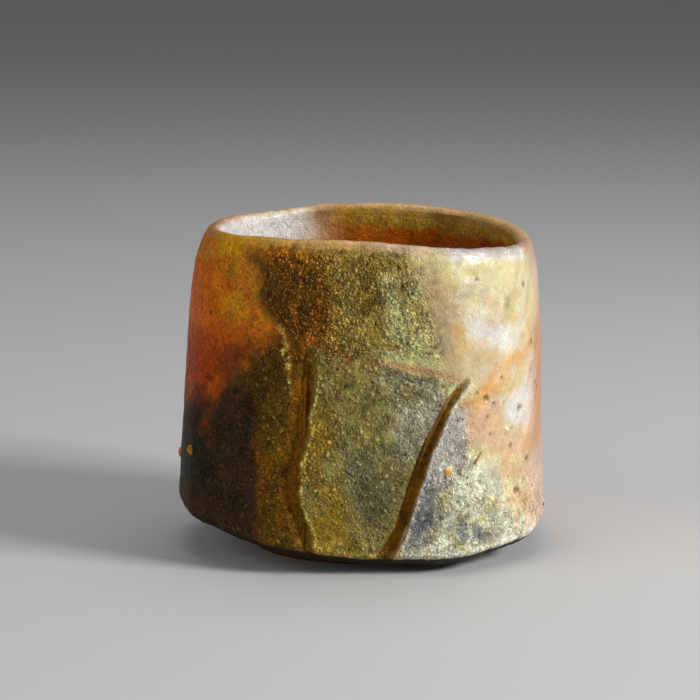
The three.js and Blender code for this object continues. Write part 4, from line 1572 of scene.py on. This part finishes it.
@dataclass
class InnerBand:
    """The band of ash inside the back of the lip."""

    form: CupForm
    colours: KilnColours
    start: float = 92.0
    end: float = 198.0
    low: float = 0.87
    high: float = 0.985
    root: float = 0.8
    cells: tuple[int, int] = (420, 60)

    def build(self, finish: bpy.types.Material) -> bpy.types.Object:
        """Makes the band as a closed skin on the bowl's side, with a scalloped lower edge.

        Args:
            finish: the ash's material.

        Returns:
            The piece that stands for the band's node.
        """
        form = self.form
        u = np.linspace(0, 1, self.cells[0] + 1)[:, None]
        v = np.linspace(0, 1, self.cells[1] + 1)[None, :]
        angle = self.start + (self.end - self.start) * u + 0 * v
        share = self.low + (self.high - self.low) * v + 0 * u
        height = form.level(angle, share)
        radius = form.bowl_radius(angle, share)
        plain = form.point(angle, radius, height, share)
        rough = layered_noise(plain, 2.5, 71)
        ends = np.minimum(u, 1 - u) * (self.end - self.start) * DEGREE_MM
        depth = v * (self.high - self.low) * SHARE_MM
        cover = smooth_step(0.2, 2.5, ends + rough) * smooth_step(0.3, 2.2, depth + 1.3 * rough)
        cover = cover * smooth_step(0, 0.25, 1 - v)
        grain, tone = grains(angle * DEGREE_MM, height, 0.75, 0.45, 0.7, 72)
        rise = cover * (0.1 + 0.08 * rough) + 0.12 * grain * cover
        edge = smooth_step(0, 0.2, cover)
        uneven = dented(plain, form.bowl_dents)
        face = form.point(angle, radius - uneven + 0.5 * (1 - edge) - rise * edge, height, share)
        back = form.behind(angle, radius + self.root, height, share)
        # lighter on the grains' tops, partly the ash's own tone and partly painted light, with a random tone
        # each
        shade = (0.9 + 0.35 * np.clip(grain / 0.4, 0, 1)) * (0.85 + 0.3 * tone)
        tint = self.colours.inner(angle, height, plain) * (shade * cover + 1 - cover)[..., None]
        piece = patch_skin("inner_ash_band", face, back, tint, 0.3 * cover)
        seat(piece, finish, "olive_ash", "ash_glaze_inner_band")
        return piece


@dataclass
class GrooveGlass:
    """Glass that has run down into a groove and pooled there."""

    name: str
    node: str
    form: CupForm
    colours: KilnColours
    ash: AshFall
    groove: Groove
    start: float = 0.16
    end: float = 0.84
    steps: int = 240
    path_points: int = 200
    columns: int = 15
    fill: float = 0.6

    def build(self, finish: bpy.types.Material) -> bpy.types.Object:
        """Makes the pool: rings across the groove that follow its hollow, carried along its path.

        Args:
            finish: the glass's material.

        Returns:
            The piece that stands for the glass's node.
        """
        form, groove = self.form, self.groove
        t = np.linspace(self.start, self.end, self.steps)
        path = curve_through(groove.path, self.path_points)
        where = np.linspace(0, 1, self.path_points)
        angle, share = (np.interp(t, where, path[:, k])[:, None] for k in (0, 1))
        full = smooth_step(-0.05, groove.taper, t)[:, None]
        ends = (smooth_step(0, 0.1, (t - self.start)) * smooth_step(0, 0.06, self.end - t))[:, None]
        span = np.linspace(-1, 1, self.columns)[None, :]
        half = groove.width / 2 * self.fill
        turn, flat = angle + span * half / DEGREE_MM, share + 0 * span
        radius, height = form.wall_radius(turn, flat), form.level(turn, flat)
        plain = form.point(turn, radius, height, flat)
        carved, _, flank = form.carved(turn, flat, plain)
        grit, gain, glow, _ = self.ash.grit(turn, height, plain, True)
        film = (0.14 + 0.05 * soft_noise(plain, 1.6, 81)) * (1 - span**4) * ends - 0.1 + 0.4 * grit
        face = form.point(turn, radius + dented(plain, form.dents) - carved + film, height, flat)
        low = angle + span[:, RING_ENDS] * half * 0.9 / DEGREE_MM
        flat = share + 0 * low
        deep = form.wall_radius(low, flat) - groove.depth * full - 0.5
        back = form.point(low, deep, form.level(low, flat), flat)
        # the groove colour carries painted shade on its left walls, and the ash's gain and glow painted
        # light and shade on its grains
        tint = self.colours.groove(plain, flank) * (0.5 + 0.5 * gain) + 0.4 * glow
        piece = patch_skin(self.name, face, back, tint, np.ones_like(height))
        seat(piece, finish, "amber_glass", self.node)
        return piece


@dataclass
class Stone:
    """A stone of the clay, or a chip of grit, that stands out of the surface.

    Size is its width, height and depth, sunk is how far its middle lies under the wall, and the cap is the
    colour of its upper side. Where the cap is paler than the glaze below it, that is painted light on top
    and painted shade beneath.
    """

    node: str
    form: CupForm
    angle: float
    share: float
    size: tuple[float, float, float]
    sunk: float
    glaze: Glaze
    cap: Glaze
    rough: float = 0.12
    columns: int = 40
    rows: int = 26
    pole: float = 0.04  # angle left open at each pole, in radians

    def build(self, finish: bpy.types.Material) -> bpy.types.Object:
        """Makes the stone: an ellipsoid whose radius swings by noise, turned to face out of the wall.

        Args:
            finish: the stone's material.

        Returns:
            The piece that stands for the stone's node.
        """
        turn = np.linspace(0, 2 * np.pi, self.columns, endpoint=False)[None, :]
        tilt = np.linspace(self.pole, np.pi - self.pole, self.rows)[:, None]
        axes = np.sin(tilt) * np.cos(turn), np.sin(tilt) * np.sin(turn), np.cos(tilt)
        ball = np.stack(np.broadcast_arrays(*axes), -1)
        swing = soft_noise(ball, 0.8, 91) + 0.5 * soft_noise(ball, 0.4, 92)
        ball = ball * (1 + self.rough * swing)[..., None]
        across, up, out = (ball[..., k] * self.size[k] / 2 for k in range(3))
        angle, share = np.array(self.angle), np.array(self.share)
        radius = self.form.wall_radius(angle, share) - self.sunk
        centre = self.form.point(angle, radius, self.form.level(angle, share), share)
        a = math.radians(self.angle)
        sideways, outward = np.array([math.cos(a), math.sin(a), 0]), np.array([math.sin(a), -math.cos(a), 0])
        rings = centre + across[..., None] * sideways + out[..., None] * outward
        rings = rings + up[..., None] * np.array([0, 0, 1.0])
        tone = 1 + 0.35 * layered_noise(rings, 0.8, 93)[..., None]
        # painted light and shade: the cap's paler colour on the upper side, the glaze's darker one below
        tint = blend(self.glaze.linear, self.cap.linear, smooth_step(-0.1, 0.6, ball[..., 1]))
        piece = ring_skin(self.node + "_piece", rings, tint * tone, np.zeros(rings.shape[:2]))
        seat(piece, finish, "feldspar", self.node)
        return piece


@dataclass(frozen=True)
class Lamp:
    """A soft square lamp: where it stands and its size, in metres, and its power in watts."""

    name: str
    at: tuple[float, float, float]
    size: float
    power: float


@dataclass(frozen=True)
class Studio:
    """The pale floor, the soft lamps and the camera."""

    camera_at: tuple[float, float, float] = (-0.00212, -0.51093, 0.12693)
    camera_down: float = 10.0
    lens: float = 139.06
    sensor: float = 36.0
    aim: tuple[float, float, float] = (0.0, 0.0, 0.03)
    floor_reach: float = 6.0
    floor_tone: float = 0.62
    floor_roughness: float = 0.7
    clip: tuple[float, float] = (0.01, 20.0)
    sky: float = 0.14
    lamps: tuple[Lamp, ...] = (
        Lamp("window", (0.58, -0.28, 0.36), 0.22, 4.8),
        Lamp("left_fill", (-0.7, -0.42, 0.4), 0.8, 2.2),
        Lamp("top", (0.0, 0.2, 0.8), 0.6, 1.5),
    )

    def build(self) -> None:
        """Makes the floor, the room's light, the lamps and the camera."""
        bpy.context.scene.view_settings.view_transform = "Standard"
        self.floor()
        self.room()
        for lamp in self.lamps:
            self.hang(lamp)
        self.camera()

    def room(self) -> None:
        """Makes the even light of the room."""
        world = bpy.data.worlds.new("soft_room")
        world.use_nodes = True
        back = world.node_tree.nodes["Background"]
        back.inputs["Color"].default_value = (1, 1, 1, 1)
        back.inputs["Strength"].default_value = self.sky
        bpy.context.scene.world = world

    def hang(self, lamp: Lamp) -> None:
        """Hangs a lamp and turns it to the cup.

        Args:
            lamp: the lamp.
        """
        light = bpy.data.lights.new(lamp.name, "AREA")
        light.size, light.energy = lamp.size, lamp.power
        holder = bpy.data.objects.new(lamp.name, light)
        holder.location = lamp.at
        aim = np.array(self.aim) - np.array(lamp.at)
        flat = math.hypot(aim[0], aim[1])
        holder.rotation_euler = (math.atan2(flat, -aim[2]), 0, math.atan2(-aim[0], aim[1]))
        bpy.context.scene.collection.objects.link(holder)

    def camera(self) -> None:
        """Makes the camera of the photograph's view."""
        view = bpy.data.cameras.new("photo_view")
        view.lens, view.sensor_width = self.lens, self.sensor
        view.clip_start, view.clip_end = self.clip
        camera = bpy.data.objects.new("photo_view", view)
        camera.location = self.camera_at
        camera.rotation_euler = (math.radians(90 - self.camera_down), 0, 0)
        bpy.context.scene.collection.objects.link(camera)
        bpy.context.scene.camera = camera

    def floor(self) -> None:
        """Makes a plain pale floor that reaches past the view."""
        mesh = bpy.data.meshes.new("floor")
        corners = self.floor_reach * np.array([(-1, -1, 0), (1, -1, 0), (1, 1, 0), (-1, 1, 0)], float)
        mesh.from_pydata(corners, [], [(0, 1, 2, 3)])
        pale = bpy.data.materials.new("pale_floor")
        pale.use_nodes = True
        shader = pale.node_tree.nodes["Principled BSDF"]
        shader.inputs["Base Color"].default_value = (self.floor_tone, self.floor_tone, self.floor_tone, 1)
        shader.inputs["Roughness"].default_value = self.floor_roughness
        mesh.materials.append(pale)
        plane = bpy.data.objects.new("floor", mesh)
        bpy.context.scene.collection.objects.link(plane)


def ash_patches(form: CupForm, colours: KilnColours, ash: AshFall) -> list[tuple[AshPatch, Kiln]]:
    """The four ash patches of the front, each with its finish.

    Args:
        form: the cup's shape.
        colours: the kiln's colours.
        ash: the ash's grains.

    Returns:
        Patches with their sides taken from the grooves beside them.
    """
    low = 0.004
    centre_left = form.left_groove.beside(1, low, 0.625, -0.7)
    centre_right = form.right_groove.beside(-1, low, 0.575, -0.35)
    left_lip = form.left_groove.beside(-1, low, 0.69, -0.5)
    right_lip = form.right_groove.beside(1, low, 0.5, -0.2)
    left_side = ((-60, low), (-62, 0.22), (-53, 0.42), (-44, 0.58), (-34, 0.7))
    right_side = ((62, low), (50, 0.14), (43, 0.27), (36, 0.46))
    return [
        (AshPatch(
            "upper_ash", "ash_glaze_upper", "olive_ash", form, colours, ash, (1.0, 1.0, 0.8, 0.8),
            ((-30, 0.7), (-22, 0.69), (-13, 0.6), (0, 0.575), (29, 0.54)), ((-39.5, 0.99), (17.5, 0.99)),
            ((-30, 0.7), (-36, 0.79), (-39.5, 0.99)), ((29, 0.54), (25, 0.77), (17.5, 0.99)), (330, 250),
        ), Kiln.ASH),
        (AshPatch(
            "centre_ash", "ash_glaze_centre", "olive_ash", form, colours, ash, (0.6, 0.6, 0.3, 0.8),
            (centre_left[0], centre_right[0]), (centre_left[-1], centre_right[-1]),
            centre_left, centre_right, (270, 310),
        ), Kiln.ASH),
        (AshPatch(
            "left_ash", "ash_glaze_left", "charred_ash", form, colours, ash, (1.5, 0.6, 0.3, 1.0),
            (left_side[0], left_lip[0]), (left_side[-1], left_lip[-1]),
            left_side, left_lip, (250, 320),
        ), Kiln.CHAR),
        (AshPatch(
            "right_ash", "ash_glaze_right", "pale_ash", form, colours, ash, (0.6, 1.5, 0.3, 1.0),
            (right_lip[0], right_side[0]), (right_lip[-1], right_side[-1]),
            right_lip, right_side, (280, 280),
        ), Kiln.ASH),
    ]


def main() -> None:
    """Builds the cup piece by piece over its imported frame."""
    logging.basicConfig(level=logging.INFO, format="%(name)s: %(message)s")
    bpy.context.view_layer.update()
    Studio().build()
    form, colours, ash = CupForm(), KilnColours(), AshFall()
    surface = fired_surface_group()
    finishes = {kind: kind.value.material(surface) for kind in Kiln}
    pieces = [ClayBody(form, colours, ash).build(finishes[Kiln.CLAY])]
    pieces += [patch.build(finishes[kind]) for patch, kind in ash_patches(form, colours, ash)]
    pieces.append(InnerBand(form, colours).build(finishes[Kiln.ASH]))
    for name, node, groove in (
        ("left_groove_glass", "groove_glass_left", form.left_groove),
        ("right_groove_glass", "groove_glass_right", form.right_groove),
    ):
        pieces.append(GrooveGlass(name, node, form, colours, ash, groove).build(finishes[Kiln.GLASS]))
    for stone in (
        # front stone: cream top over an apricot underside, painted light and shade
        Stone("feldspar_stone_front", form, 28.2, 0.291, (1.9, 2.2, 1.8), 0.25, Glaze.APRICOT, Glaze.CREAM),
        Stone(
            "feldspar_stone_left_large", form, -84.5, 0.16, (2.8, 2.9, 2.6), 0.75,
            Glaze.OCHRE, Glaze.OCHRE, 0.1,
        ),
        Stone(
            "feldspar_stone_left_small", form, -66, 0.23, (2.2, 2.3, 2.0), 0.35,
            Glaze.OCHRE, Glaze.OCHRE, 0.1,
        ),
        # grit chip: white top over a charred underside, partly real char and partly painted light and shade
        Stone("kiln_grit_chip", form, 85, 0.02, (1.4, 2.8, 1.9), 0.7, Glaze.CHAR, Glaze.WHITE, 0.3),
    ):
        pieces.append(stone.build(finishes[Kiln.STONE]))
    for piece in pieces:
        LOG.info("%s: %d faces", piece.name, len(piece.data.polygons))


if __name__ == "__main__":
    main()
